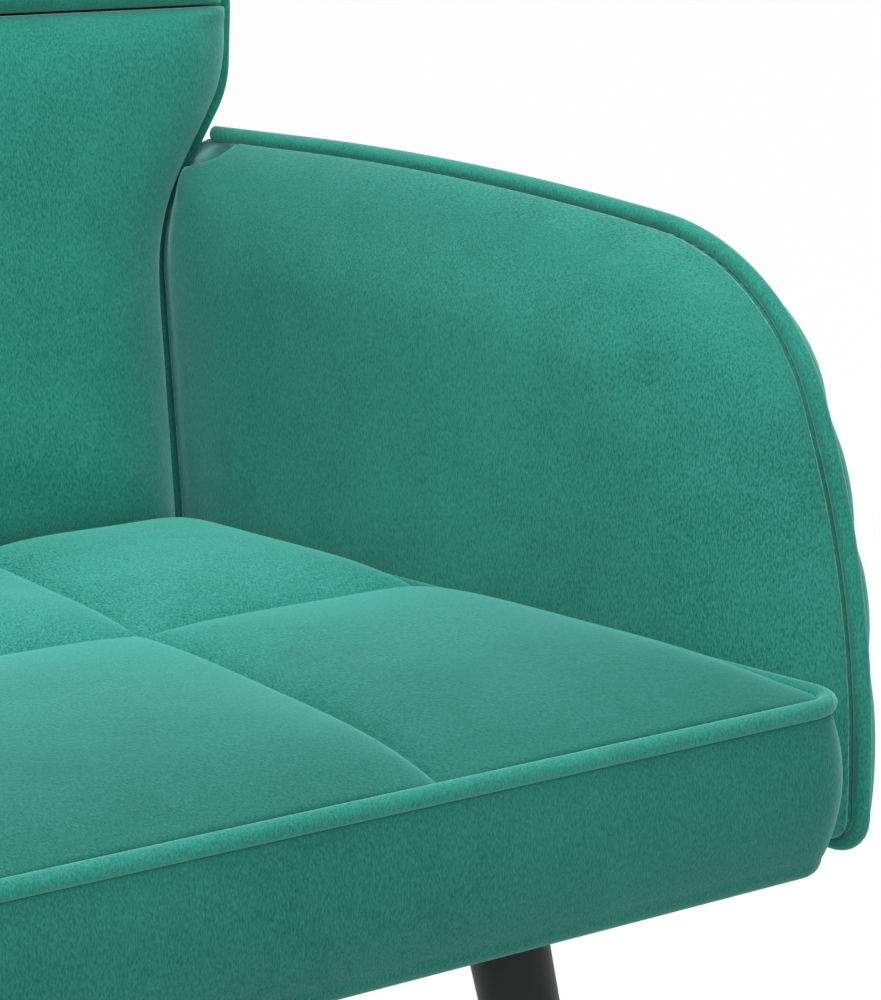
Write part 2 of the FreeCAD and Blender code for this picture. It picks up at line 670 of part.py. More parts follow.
def back_frame():
    """Stiles and cross rails of the back, bored for dowels, bolts and screws."""
    board = back_board()
    stile = board.common(box((STILE_INNER, -REACH, -REACH), (REACH, REACH, REACH)))
    stile = stile.cut(back_dowels(HOLE_CLEARANCE) + arm_screw_holes())
    pieces = {"back_stile_right": stile, "back_stile_left": mirrored(stile)}
    for name, (low, high) in back_rail_spans().items():
        rail = board.common(box((-STILE_INNER, -REACH, low), (STILE_INNER, REACH, high)))
        pieces[name] = rail.cut(back_dowels(HOLE_CLEARANCE) + back_bolt_holes())
    return {name: placed(shape, BACK) for name, shape in pieces.items()}


def back_straps():
    """Webbing across the back, ending on the stiles."""
    reach = STILE_INNER + STILE_WIDTH / 2
    half = STRAP_WIDTH / 2
    straps = []
    for s in spaced(BACK_STRAPS, 0, BACK_TOP - BACK_RAIL_WIDTH):
        strap = box((-reach, BACK_STRAP_FRONT, s - half), (reach, BACK_FRAME_FRONT, s + half))
        straps.append(placed(strap, BACK))
    return straps


def back_pads():
    """Crowned front pad of the back, drawn in to its piping and parted by a V along the seam."""
    foot_x, foot_s, _ = FOOT
    waist_x, waist_s, _ = WAIST
    low = (foot_x + (waist_x - foot_x) * (foot_s + BACK_PAD_TUCK) / (foot_s - waist_s), -BACK_PAD_TUCK)
    outline = symmetric([(*low, BACK_PAD_CORNER), WAIST, WING, SHOULDER, CROWN])
    levels = [(BACK_PAD_REAR - share * BACK_PAD_THICKNESS, inset) for share, inset in BACK_PAD_CROWN]
    pad = pillow(outline, levels, back_face)
    face = -BACK_PAD_PROUD - TRIM_GAP
    half = BACK_SEAM_WIDTH / 2
    root = face + BACK_SEAM_DEPTH
    upper = [(face, half), (root, TRIM_GAP), (REACH, TRIM_GAP)]
    lower = [(t, -s) for t, s in reversed(upper)]
    spots = [FreeCAD.Vector(-REACH, t, BACK_SEAM + s) for t, s in upper + lower]
    groove = Part.Face(Part.makePolygon(spots + spots[:1])).extrude(OUTWARDS * (2 * REACH))
    halves = {
        "back_lower_pad": box((-REACH, -REACH, -REACH), (REACH, REACH, BACK_SEAM)),
        "back_upper_pad": box((-REACH, -REACH, BACK_SEAM), (REACH, REACH, REACH)),
    }
    return {name: placed(pad.common(side).cut(groove), BACK) for name, side in halves.items()}


def back_piping():
    """Welt cord round the back, in front of the rear cover."""
    return placed(piping(back_outline().wire(back_face(BACK_PIPING_DEPTH))), BACK)


def back_rear_cover():
    """Padded rear cover, folded round the edge of the frame."""
    depth = BACK_COVER_REAR - BACK_COVER_FRONT
    levels = [(BACK_COVER_FRONT + share * depth, inset) for share, inset in BACK_COVER_CROWN]
    cover = pillow(back_outline(), levels, back_face)
    pocket_outline = back_outline().inset(BOARD_INSET - SOFT_GAP)
    pocket = prism(pocket_outline, BACK_COVER_FRONT - TRIM_GAP, BACK_FRAME_REAR + SOFT_GAP, back_face)
    screws = arm_screw_holes()
    holes = screws + [mirrored(hole) for hole in screws]
    return placed(cover.cut(pocket).cut(holes), BACK)


# Arms


def arm_rear_v(height, depth):
    """V where a plane at depth in the back crosses the arm's board at a height."""
    s = (height - SEAT_HEIGHT + depth * math.sin(RECLINE)) / math.cos(RECLINE)
    y = SEAT_DEPTH + depth * math.cos(RECLINE) + s * math.sin(RECLINE)
    return (y - ARM_BOARD_MIDDLE * math.sin(FLARE)) / math.cos(FLARE)


def arm_outline(rear_depth):
    """Arm from the side: upright front, round shoulder, level top, rear edge along the back."""
    shoulder_turn = math.radians(ARM_SHOULDER_TURN)
    front_turn = math.radians(ARM_FRONT_TURN)
    top_turn = math.pi / 2 - front_turn - shoulder_turn
    front_reach = ARM_FRONT_RADIUS * math.tan(front_turn / 2)
    shoulder_reach = ARM_SHOULDER_RADIUS * math.tan(shoulder_turn / 2)
    top_reach = ARM_TOP_RADIUS * math.tan(top_turn / 2)
    steep = front_reach + shoulder_reach
    gentle = shoulder_reach + top_reach
    shoulder_v = ARM_FRONT + steep * math.sin(front_turn)
    top_v = shoulder_v + gentle * math.cos(top_turn)
    shoulder_w = ARM_HEIGHT - gentle * math.sin(top_turn)
    front_w = shoulder_w - steep * math.cos(front_turn)
    return Outline([
        (ARM_FRONT, ARM_BOTTOM, ARM_TOE_RADIUS),
        (arm_rear_v(ARM_BOTTOM, rear_depth), ARM_BOTTOM, ARM_TOE_RADIUS),
        (arm_rear_v(ARM_HEIGHT, rear_depth), ARM_HEIGHT, ARM_TOE_RADIUS),
        (top_v, ARM_HEIGHT, ARM_TOP_RADIUS),
        (shoulder_v, shoulder_w, ARM_SHOULDER_RADIUS),
        (ARM_FRONT, front_w, ARM_FRONT_RADIUS),
    ])


def back_envelope():
    """Space of the back with a gap round it, which the arms keep clear of."""
    outline = back_outline().inset(-ARM_BACK_GAP)
    return placed(prism(outline, -BACK_PAD_PROUD - TRIM_GAP, BACK_COVER_REAR + TRIM_GAP, back_face), BACK)


def arm_board():
    """Plywood panel that carries the arm's pads, inside the piping."""
    outline = arm_outline(BACK_FRAME_REAR).inset(BOARD_INSET)
    board = prism(outline, ARM_BOARD_INNER, ARM_BOARD_OUTER, arm_side)
    return placed(board, RIGHT_ARM).cut(back_envelope())


def arm_inner_pad():
    """Thick pad on the seat's side, crowned, notched for the arm rail and stopped at the back frame."""
    levels = [(ARM_BOARD_INNER - share * ARM_PAD_THICKNESS, inset) for share, inset in ARM_PAD_CROWN]
    pad = pillow(arm_outline(BACK_FRAME_REAR + 2 * ARM_SHOULDER_RADIUS), levels, arm_side)
    lip = ARM_RAIL_FRONT - 2 * ARM_BACK_GAP
    ceiling = ARM_BOTTOM + ARM_RAIL_LIFT + ARM_RAIL_HEIGHT + ARM_BACK_GAP
    notch = box((-REACH, lip, -REACH), (REACH, REACH, ceiling))
    pad = placed(pad.cut(notch), RIGHT_ARM)
    return pad.cut(back_slab(BACK_FRAME_FRONT - TRIM_GAP)).cut(back_envelope())


def channel_profile():
    """Side view of the outer cover: sewn lines with a round channel between each two."""
    seam_u = ARM_COVER_OUTER - CHANNEL_DEPTH
    first = ARM_HEIGHT - CHANNEL_FIRST
    seams = [first + CHANNEL_PITCH] + [first - i * CHANNEL_PITCH for i in range(CHANNEL_SEAMS)] + [ARM_BOTTOM]
    spots = [FreeCAD.Vector(seam_u, 0, w) for w in seams]
    edges = []
    for upper, lower in zip(spots, spots[1:]):
        middle = FreeCAD.Vector(ARM_COVER_OUTER, 0, (upper.z + lower.z) / 2)
        edges.append(Part.Arc(upper, middle, lower).toShape())
    inner_low = FreeCAD.Vector(ARM_BOARD_OUTER, 0, ARM_BOTTOM)
    inner_high = FreeCAD.Vector(ARM_BOARD_OUTER, 0, spots[0].z)
    edges.append(Part.makeLine(spots[-1], inner_low))
    edges.append(Part.makeLine(inner_low, inner_high))
    edges.append(Part.makeLine(inner_high, spots[0]))
    return Part.Wire(edges)


def arm_outer_pad():
    """Padded outer cover of the arm with level sewn channels."""
    levels = [(ARM_BOARD_OUTER + share * ARM_COVER_THICKNESS, inset) for share, inset in ARM_COVER_CROWN]
    cushion = pillow(arm_outline(BACK_FRAME_REAR), levels, arm_side)
    channels = Part.Face(channel_profile()).extrude(FreeCAD.Vector(0, REACH, 0))
    return placed(cushion.common(channels), RIGHT_ARM).cut(back_envelope())


def arm_piping():
    """Welt cord round the edge of the arm's board, open where the wing of the back sits."""
    path = arm_outline(BACK_FRAME_REAR).wire(arm_side(ARM_BOARD_MIDDLE))
    return placed(piping(path), RIGHT_ARM).cut(back_envelope())


def arm_rail_span():
    """Lower and upper height of the arm rail."""
    low = ARM_BOTTOM + ARM_RAIL_LIFT
    return low, low + ARM_RAIL_HEIGHT


def arm_bolt_starts():
    """Seats of the arm bolts' heads on the inner face of the right side rail."""
    low, high = arm_rail_span()
    spots = [ARM_RAIL_FRONT + share * (ARM_RAIL_REAR - ARM_RAIL_FRONT) for share in ARM_BOLT_POSITIONS]
    return [FreeCAD.Vector(-FRONT_RAIL_REAR, v, (low + high) / 2) for v in spots]


def arm_bolt_holes():
    """Bores of the right arm's bolts."""
    holes = [pin_hole(start, OUTWARDS, ARM_BOLT_LENGTH, BOLT_DIAMETER) for start in arm_bolt_starts()]
    return [placed(hole, RIGHT_ARM) for hole in holes]


def arm_inserts(slack):
    """Inserts in the right arm's rail."""
    seats = [FreeCAD.Vector(-BORDER_THICKNESS, start.y, start.z) for start in arm_bolt_starts()]
    return [placed(insert_nut(seat, OUTWARDS, slack), RIGHT_ARM) for seat in seats]


def arm_bottom_rail():
    """Timber rail that joins the arm's board to the seat's side rail."""
    low, high = arm_rail_span()
    rail = box((-BORDER_THICKNESS, ARM_RAIL_FRONT, low), (ARM_BOARD_INNER, ARM_RAIL_REAR, high))
    return placed(rail, RIGHT_ARM).cut(arm_inserts(HOLE_CLEARANCE) + arm_bolt_holes())


def arm_rear_block():
    """Timber block between the arm's board and the side of the back, screwed through the stile."""
    low = (BACK_BASE, BACK_COVER_FRONT, slope(SEAT_HEIGHT - REAR_BLOCK_DROP))
    high = (REACH, BACK_FRAME_REAR, slope(SEAT_HEIGHT + REAR_BLOCK_RISE))
    side = prism(back_outline().inset(-TRIM_GAP), -REACH, REACH, back_face)
    block = box(low, high).cut(side).cut(arm_screw_holes())
    outside = box((ARM_BOARD_INNER, -REACH, -REACH), (REACH, REACH, REACH))
    return placed(block, BACK).cut(placed(outside, RIGHT_ARM))


def arm_rear_cover():
    """Velvet strip that closes the rear of the arm, from the side of the back to the arm's piping."""
    front = BACK_FRAME_REAR + SOFT_GAP
    low = (BACK_BASE, front, slope(ARM_BOTTOM) + BOARD_INSET)
    high = (REACH, front + REAR_STRIP_THICKNESS, slope(ARM_HEIGHT) - BOARD_INSET)
    side = prism(back_outline().inset(-TRIM_GAP), -REACH, REACH, back_face)
    outside = box((ARM_BOARD_INNER, -REACH, -REACH), (REACH, REACH, REACH))
    return placed(box(low, high).cut(side), BACK).cut(placed(outside, RIGHT_ARM))


def arm_dust_strip():
    """Thin cloth under the arm rail."""
    low, _ = arm_rail_span()
    front = (-BORDER_THICKNESS, ARM_RAIL_FRONT, low - DUST_COVER_THICKNESS)
    return placed(box(front, (ARM_BOARD_INNER, ARM_RAIL_REAR, low)), RIGHT_ARM)


def right_arm():
    """Pieces of the right arm by name."""
    return {
        "arm_board": arm_board(),
        "arm_bottom_rail": arm_bottom_rail(),
        "arm_rear_block": arm_rear_block(),
        "arm_inner_pad": arm_inner_pad(),
        "arm_outer_pad": arm_outer_pad(),
        "arm_piping": arm_piping(),
        "arm_rear_cover": arm_rear_cover(),
        "arm_dust_strip": arm_dust_strip(),
    }


# Legs


def leg_foot(side, end, x, y, height):
    """Middle of a splayed leg at a height above the floor."""
    drop = UNDERSIDE - height
    return FreeCAD.Vector(x + side * LEG_SPLAY * drop, y + end * LEG_SPLAY * drop, height)


def leg_radius(height):
    """Outer radius of the tapered leg at a height."""
    share = (height - GLIDE_HEIGHT) / (UNDERSIDE - GLIDE_HEIGHT)
    return (FOOT_DIAMETER + share * (LEG_DIAMETER - FOOT_DIAMETER)) / 2


def flat_sided(lower, upper):
    """Solid between two level rings with the same number of sides."""
    low = [vertex.Point for vertex in lower.OrderedVertexes]
    high = [vertex.Point for vertex in upper.OrderedVertexes]
    faces = [Part.Face(lower), Part.Face(upper)]
    for i, corner in enumerate(low):
        faces.append(Part.Face(Part.makePolygon([low[i - 1], corner, high[i], high[i - 1], low[i - 1]])))
    solid = Part.makeSolid(Part.makeShell(faces))
    if solid.Volume < 0:
        solid.reverse()
    return solid


def leg_bar(site, low, high, inwards):
    """Tapered slanted bar with level ends, drawn in from the leg's skin."""
    rings = []
    for height in (low, high):
        rings.append(ring(leg_radius(height) - inwards, leg_foot(*site, height), UPWARDS, LEG_SIDES))
    return flat_sided(*rings)


def leg(site):
    """Steel tube leg welded to its plate, with four screw holes."""
    _, _, x, y = site
    half = LEG_PLATE_SIZE / 2
    corners = [(x - half, y - half), (x + half, y - half), (x + half, y + half), (x - half, y + half)]
    outline = Outline([(a, b, LEG_PLATE_CORNER) for a, b in corners])
    plate = prism(outline, UNDERSIDE, DUST_COVER_BOTTOM, plan).cut(leg_screw_holes())
    skin = leg_bar(site, GLIDE_HEIGHT, UNDERSIDE, 0)
    bore = leg_bar(site, GLIDE_HEIGHT, UNDERSIDE, LEG_WALL)
    return skin.cut(bore).fuse(plate).removeSplitter()


def foot_glide(site):
    """Plastic glide: a chamfered foot on the floor, with a plug inside the leg."""
    foot = leg_foot(*site, 0)
    lip = FOOT_DIAMETER / 2 + GLIDE_LIP
    rings = []
    for radius, height in ((lip - GLIDE_CHAMFER, 0), (lip, GLIDE_CHAMFER), (lip, GLIDE_HEIGHT)):
        rings.append(ring(radius, foot + UPWARDS * height, UPWARDS, LEG_SIDES))
    base = flat_sided(rings[0], rings[1]).fuse(flat_sided(rings[1], rings[2]))
    top = GLIDE_HEIGHT + GLIDE_PLUG
    plug = leg_bar(site, GLIDE_HEIGHT, top, LEG_WALL + HOLE_CLEARANCE)
    return base.fuse(plug).removeSplitter()


# Assembly


def fasteners():
    """Bolts, inserts and screws, each kind as one group."""
    bolt = (BOLT_DIAMETER, BOLT_HEAD_DIAMETER, BOLT_HEAD_HEIGHT)
    screw = (SCREW_DIAMETER, SCREW_HEAD_DIAMETER, SCREW_HEAD_HEIGHT)
    right_bolts = []
    for start in arm_bolt_starts():
        right_bolts.append(placed(headed_pin(start, OUTWARDS, ARM_BOLT_LENGTH, *bolt), RIGHT_ARM))
    back_bolts = []
    for start in back_bolt_starts():
        back_bolts.append(placed(headed_pin(start, FORWARDS, BACK_BOLT_LENGTH, *bolt), BACK))
    right_screws = []
    for start in arm_screw_starts():
        right_screws.append(placed(headed_pin(start, OUTWARDS, ARM_SCREW_LENGTH, *screw), BACK))
    leg_screws = []
    for _, _, x, y in leg_tops():
        for start in leg_screw_starts(x, y):
            leg_screws.append(headed_pin(start, UPWARDS, LEG_SCREW_LENGTH, *screw))
    right_inserts = arm_inserts(0)
    return {
        "arm_bolts": right_bolts + [mirrored(piece) for piece in right_bolts],
        "arm_insert_nuts": right_inserts + [mirrored(piece) for piece in right_inserts],
        "arm_screws": right_screws + [mirrored(piece) for piece in right_screws],
        "back_bolts": back_bolts,
        "back_insert_nuts": back_inserts(0),
        "leg_screws": leg_screws,
    }


def sofa():
    """Every piece of the sofa by name; a group of like pieces is a list."""
    rails = seat_rails()
    side_bores = arm_bolt_holes()
    rails["seat_side_rail_right"] = rails["seat_side_rail_right"].cut(side_bores)
    rails["seat_side_rail_left"] = mirrored(rails["seat_side_rail_right"])
    rear_bores = [placed(hole, BACK) for hole in back_bolt_holes()]
    rails["seat_rear_rail"] = rails["seat_rear_rail"].cut(back_inserts(HOLE_CLEARANCE) + rear_bores)
    nodes = dict(rails)
    nodes["corner_blocks"] = corner_blocks()
    nodes["leg_blocks"] = leg_blocks()
    nodes["frame_dowels"] = seat_dowels(0) + [placed(dowel, BACK) for dowel in back_dowels(0)]
    nodes.update(seat_straps())
    nodes["dust_cover"] = dust_cover()
    nodes["seat_foam"] = seat_foam()
    nodes["seat_quilted_top"] = seat_quilted_top()
    nodes["seat_border"] = seat_border()
    nodes["seat_piping"] = seat_piping()
    nodes.update(back_frame())
    nodes["back_webbing"] = back_straps()
    nodes.update(back_pads())
    nodes["back_piping"] = back_piping()
    nodes["back_rear_cover"] = back_rear_cover()
    for name, shape in right_arm().items():
        nodes[name + "_right"] = shape
        nodes[name + "_left"] = mirrored(shape)
    for site in leg_tops():
        side, end, _, _ = site
        name = "leg_" + ("front" if end < 0 else "rear") + ("_left" if side < 0 else "_right")
        nodes[name] = leg(site)
    nodes["foot_glides"] = [foot_glide(site) for site in leg_tops()]
    nodes.update(fasteners())
    return nodes


def export(nodes):
    """Write each node, with the origin on the floor under the middle of the sofa's box."""
    shapes = {}
    for name, piece in nodes.items():
        shapes[name] = Part.makeCompound(piece) if isinstance(piece, list) else piece
    bounds = Part.makeCompound(list(shapes.values())).optimalBoundingBox(False, False)
    centring = FreeCAD.Placement(FreeCAD.Vector(0, -bounds.Center.y, 0), FreeCAD.Rotation())
    os.makedirs("parts", exist_ok=True)
    for name, shape in shapes.items():
        placed(shape, centring).exportStep(os.path.join("parts", name + ".step"))


export(sofa())
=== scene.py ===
"""Two-seater sofa in green velvet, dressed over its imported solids.

Each sub-assembly is a class: the seat, the back, an arm, the legs and the inner frame. The padded
covers start from the solids or from a cutting plan, are swollen as cloth and keep their sewn lines.
"""

from __future__ import annotations

import json
import logging
import math
from dataclasses import dataclass, field
from enum import Enum
from typing import Callable, Iterable, Sequence

import bmesh
import bpy
import numpy as np
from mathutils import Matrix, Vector
from mathutils.geometry import delaunay_2d_cdt

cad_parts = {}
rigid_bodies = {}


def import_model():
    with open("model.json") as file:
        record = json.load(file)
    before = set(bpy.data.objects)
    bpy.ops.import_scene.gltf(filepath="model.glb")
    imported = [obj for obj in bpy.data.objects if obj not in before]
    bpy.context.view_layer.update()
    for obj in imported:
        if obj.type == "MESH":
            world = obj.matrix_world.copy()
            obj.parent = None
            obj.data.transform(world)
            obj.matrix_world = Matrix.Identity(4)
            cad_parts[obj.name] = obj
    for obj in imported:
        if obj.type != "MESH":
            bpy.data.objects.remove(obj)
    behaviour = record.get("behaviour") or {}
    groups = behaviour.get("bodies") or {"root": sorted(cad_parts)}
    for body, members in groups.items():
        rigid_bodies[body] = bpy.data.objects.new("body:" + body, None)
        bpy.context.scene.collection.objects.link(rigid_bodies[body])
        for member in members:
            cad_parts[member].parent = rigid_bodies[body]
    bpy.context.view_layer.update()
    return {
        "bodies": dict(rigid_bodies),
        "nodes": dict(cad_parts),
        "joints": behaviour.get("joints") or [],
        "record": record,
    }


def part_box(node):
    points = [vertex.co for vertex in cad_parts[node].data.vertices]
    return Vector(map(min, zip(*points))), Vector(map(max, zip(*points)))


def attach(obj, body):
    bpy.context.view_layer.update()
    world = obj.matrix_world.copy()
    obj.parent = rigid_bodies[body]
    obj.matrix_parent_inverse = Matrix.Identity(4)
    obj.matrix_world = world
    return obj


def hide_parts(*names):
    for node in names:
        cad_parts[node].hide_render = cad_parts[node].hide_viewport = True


LOG = logging.getLogger("sofa")
PHOTO_HEIGHT = 1000.0
SENSOR = 36.0

Shares = Callable[[np.ndarray], np.ndarray]
Relief = Callable[[np.ndarray, np.ndarray], np.ndarray]


@dataclass(frozen=True)
class SofaSizes:
    """Sizes that the covers share with the solids, in metres and radians."""

    seat_width: float = 0.984
    seat_depth: float = 0.515
    seat_height: float = 0.430
    seat_corner: float = 0.019
    border_height: float = 0.093
    border_thickness: float = 0.014
    border_bulge: float = 0.0095
    border_return: float = 0.105
    seat_back_gap: float = 0.012
    piping_radius: float = 0.005
    flare: float = math.radians(9.8)
    recline: float = math.radians(7.0)
    arm_height: float = 0.6713
    arm_bottom: float = 0.330
    arm_board_inner: float = 0.050
    arm_board_outer: float = 0.062
    arm_cover_outer: float = 0.078
    arm_back_gap: float = 0.006
    back_frame_front: float = 0.0278
    back_frame_rear: float = 0.0528

    @property
    def half_seat(self) -> float:
        """Half of the seat's width on its front piping."""
        return self.seat_width / 2

    @property
    def underside(self) -> float:
        """Height of the border's lower edge."""
        return self.seat_height - self.border_height

    def side_x(self, y: np.ndarray | float, outwards: float) -> np.ndarray | float:
        """X of a line parallel to the seat's right side, moved outwards from its piping line."""
        return self.half_seat - y * math.tan(self.flare) + outwards / math.cos(self.flare)


class Side(Enum):
    """Side of the sofa, as seen from the front."""

    LEFT = -1
    RIGHT = 1

    @property
    def word(self) -> str:
        """Lower-case word used in piece names."""
        return self.name.lower()


@dataclass(frozen=True)
class Frames:
    """Frames of the sub-assemblies inside the sofa's own frame.

    Args:
        sizes: Sizes of the sofa.
        front: Y of the seat's front piping line.
    """

    sizes: SofaSizes
    front: float

    def arm(self, points: np.ndarray) -> np.ndarray:
        """Points of the right arm (outwards, back, up) in the sofa's frame."""
        cos, sin = math.cos(self.sizes.flare), math.sin(self.sizes.flare)
        x = self.sizes.half_seat + points[:, 0] * cos - points[:, 1] * sin
        y = self.front + points[:, 0] * sin + points[:, 1] * cos
        return np.column_stack([x, y, points[:, 2]])

    def to_arm(self, points: np.ndarray) -> np.ndarray:
        """Points of the sofa's frame as (outwards, back, up) of the right arm."""
        cos, sin = math.cos(self.sizes.flare), math.sin(self.sizes.flare)
        x = points[:, 0] - self.sizes.half_seat
        y = points[:, 1] - self.front
        return np.column_stack([x * cos + y * sin, y * cos - x * sin, points[:, 2]])

    def back(self, points: np.ndarray) -> np.ndarray:
        """Points of the back (across, rearwards, up the slope) in the sofa's frame."""
        cos, sin = math.cos(self.sizes.recline), math.sin(self.sizes.recline)
        y = self.front + self.sizes.seat_depth + points[:, 1] * cos + points[:, 2] * sin
        z = self.sizes.seat_height - points[:, 1] * sin + points[:, 2] * cos
        return np.column_stack([points[:, 0], y, z])

    def to_back(self, points: np.ndarray) -> np.ndarray:
        """Points of the sofa's frame as (across, rearwards, up the slope) of the back."""
        cos, sin = math.cos(self.sizes.recline), math.sin(self.sizes.recline)
        y = points[:, 1] - self.front - self.sizes.seat_depth
        z = points[:, 2] - self.sizes.seat_height
        return np.column_stack([points[:, 0], y * cos - z * sin, y * sin + z * cos])


class Contour:
    """Closed flat outline, anticlockwise, whose corners are rounded.

    Args:
        corners: Corners as (a, b, radius).
    """

    least_radius = 0.0015
    arc_step = 0.002

    def __init__(self, corners: Sequence[tuple[float, float, float]]) -> None:
        """Keep the corners as points and radii."""
        self.points = np.array([(a, b) for a, b, _ in corners], float)
        self.radii = np.array([radius for _, _, radius in corners], float)

    def _headings(self, i: int) -> tuple[np.ndarray, np.ndarray, float]:
        """Headings into and out of a corner, and the turn between them."""
        count = len(self.points)
        arriving = self.points[i] - self.points[i - 1]
        leaving = self.points[(i + 1) % count] - self.points[i]
        arriving = arriving / np.linalg.norm(arriving)
        leaving = leaving / np.linalg.norm(leaving)
        cross = arriving[0] * leaving[1] - arriving[1] * leaving[0]
        return arriving, leaving, math.atan2(cross, float(arriving @ leaving))

    def inset(self, depth: float) -> Contour:
        """Outline with every side moved inwards by a depth."""
        corners = []
        for i, point in enumerate(self.points):
            arriving, _, turn = self._headings(i)
            inwards = np.array([-arriving[1], arriving[0]])
            moved = point + inwards * depth - arriving * depth * math.tan(turn / 2)
            radius = max(self.radii[i] - math.copysign(depth, turn), self.least_radius)
            corners.append((moved[0], moved[1], radius))
        return Contour(corners)

    def rounded(self) -> np.ndarray:
        """Points of the outline with a fine arc at each corner."""
        rows: list[np.ndarray] = []
        for i, point in enumerate(self.points):
            arriving, _, turn = self._headings(i)
            reach = self.radii[i] * math.tan(abs(turn) / 2)
            normal = math.copysign(1, turn) * np.array([-arriving[1], arriving[0]])
            centre = point - arriving * reach + normal * self.radii[i]
            spoke = -normal * self.radii[i]
            pieces = max(4, math.ceil(abs(turn) * self.radii[i] / self.arc_step))
            for angle in np.linspace(0, turn, pieces + 1):
                cos, sin = math.cos(angle), math.sin(angle)
                turned = (cos * spoke[0] - sin * spoke[1], sin * spoke[0] + cos * spoke[1])
                rows.append(centre + np.array(turned))
        return np.array(rows)

    def sample(self, step: float) -> np.ndarray:
        """Points along the outline, about a step apart, without a repeated last point."""
        path = self.rounded()
        return spread(path, round(path_length(path, True) / step), closed=True)

    def ring(self, count: int) -> np.ndarray:
        """A count of points along the outline, without a repeated last point."""
        return spread(self.rounded(), count, closed=True)


def steps(path: np.ndarray, closed: bool) -> tuple[np.ndarray, np.ndarray]:
    """Path and its running length, without repeated points.

    Args:
        path: Points along the path.
        closed: Whether the path returns to its first point.

    Returns:
        The points, with the first one again at the end of a closed path, and the length up to each.
    """
    whole = np.vstack([path, path[:1]]) if closed else path
    lengths = np.linalg.norm(np.diff(whole, axis=0), axis=1)
    distinct = lengths > 1e-7
    whole = whole[np.concatenate([[True], distinct])]
    return whole, np.concatenate([[0.0], np.cumsum(lengths[distinct])])


def path_length(path: np.ndarray, closed: bool) -> float:
    """Length of a path."""
    return float(steps(path, closed)[1][-1])


def spread(path: np.ndarray, count: int, closed: bool) -> np.ndarray:
    """Path divided evenly.

    Args:
        path: Points along the path.
        count: Number of equal spaces.
        closed: Whether the path returns to its first point.

    Returns:
        Evenly spaced points; a closed path doesn't repeat its first one.
    """
    whole, along = steps(path, closed)
    stations = np.linspace(0, along[-1], count + 1)
    if closed:
        stations = stations[:-1]
    return np.column_stack([np.interp(stations, along, whole[:, k]) for k in range(whole.shape[1])])


def smooth_step(values: np.ndarray, low: float, high: float) -> np.ndarray:
    """Share that rises softly from 0 at low to 1 at high."""
    share = np.clip((values - low) / (high - low), 0, 1)
    return share * share * (3 - 2 * share)


# Mesh work


def mesh_piece(name: str, points: np.ndarray, faces: Iterable[Sequence[int]]) -> bpy.types.Object:
    """New object at the origin with a smooth-shaded mesh, its faces turned outwards.

    Args:
        name: Name of the piece.
        points: Vertex positions.
        faces: Vertex indices of each face.

    Returns:
        The linked object.
    """
    mesh = bpy.data.meshes.new(name)
    mesh.from_pydata([tuple(p) for p in points], [], [tuple(f) for f in faces])
    piece = bpy.data.objects.new(name, mesh)
    bpy.context.scene.collection.objects.link(piece)
    tidy(piece)
    return piece


def tidy(piece: bpy.types.Object, merge: float = 1e-6) -> None:
    """Merge doubles, turn faces outwards and shade smooth."""
    work = bmesh.new()
    work.from_mesh(piece.data)
    bmesh.ops.remove_doubles(work, verts=work.verts, dist=merge)
    bmesh.ops.recalc_face_normals(work, faces=work.faces)
    work.to_mesh(piece.data)
    work.free()
    piece.data.polygons.foreach_set("use_smooth", [True] * len(piece.data.polygons))
    piece.data.update()


def solid_copy(node: bpy.types.Object, name: str) -> bpy.types.Object:
    """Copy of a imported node's mesh as a new merged piece."""
    mesh = node.data.copy()
    mesh.materials.clear()
    piece = bpy.data.objects.new(name, mesh)
    bpy.context.scene.collection.objects.link(piece)
    tidy(piece, 1e-5)
    return piece


def positions(mesh: bpy.types.Mesh) -> np.ndarray:
    """Vertex positions of a mesh as rows."""
    flat = np.empty(len(mesh.vertices) * 3)
    mesh.vertices.foreach_get("co", flat)
    return flat.reshape(-1, 3)


def set_positions(mesh: bpy.types.Mesh, points: np.ndarray) -> None:
    """Write vertex positions back to a mesh."""
    mesh.vertices.foreach_set("co", points.ravel())
    mesh.update()


def bake(piece: bpy.types.Object) -> None:
    """Replace a piece's mesh by its evaluated one and drop its modifiers."""
    graph = bpy.context.evaluated_depsgraph_get()
    mesh = bpy.data.meshes.new_from_object(piece.evaluated_get(graph))
    piece.modifiers.clear()
    piece.data = mesh
    mesh.polygons.foreach_set("use_smooth", [True] * len(mesh.polygons))


def mirrored(piece: bpy.types.Object, name: str) -> bpy.types.Object:
    """Copy of a piece on the other side of the sofa, with its faces turned back outwards."""
    mesh = piece.data.copy()
    points = positions(mesh)
    points[:, 0] *= -1
    set_positions(mesh, points)
    mesh.flip_normals()
    twin = bpy.data.objects.new(name, mesh)
    bpy.context.scene.collection.objects.link(twin)
    return twin


def edge_distance(points: np.ndarray, ring: np.ndarray, counts: np.ndarray | None = None) -> np.ndarray:
    """Distance of flat points from a closed outline.

    Args:
        points: Rows of (a, b).
        ring: Outline, without a repeated last point.
        counts: Mask of the ring's stretches that count; None for all.

    Returns:
        Distance of each point.
    """
    after = np.roll(ring, -1, axis=0)
    nearest = np.full(len(points), np.inf)
    for i in range(len(ring)):
        if counts is not None and not counts[i]:
            continue
        along = after[i] - ring[i]
        share = np.clip((points - ring[i]) @ along / (along @ along), 0, 1)
        nearest = np.minimum(nearest, np.linalg.norm(points - ring[i] - share[:, None] * along, axis=1))
    return nearest


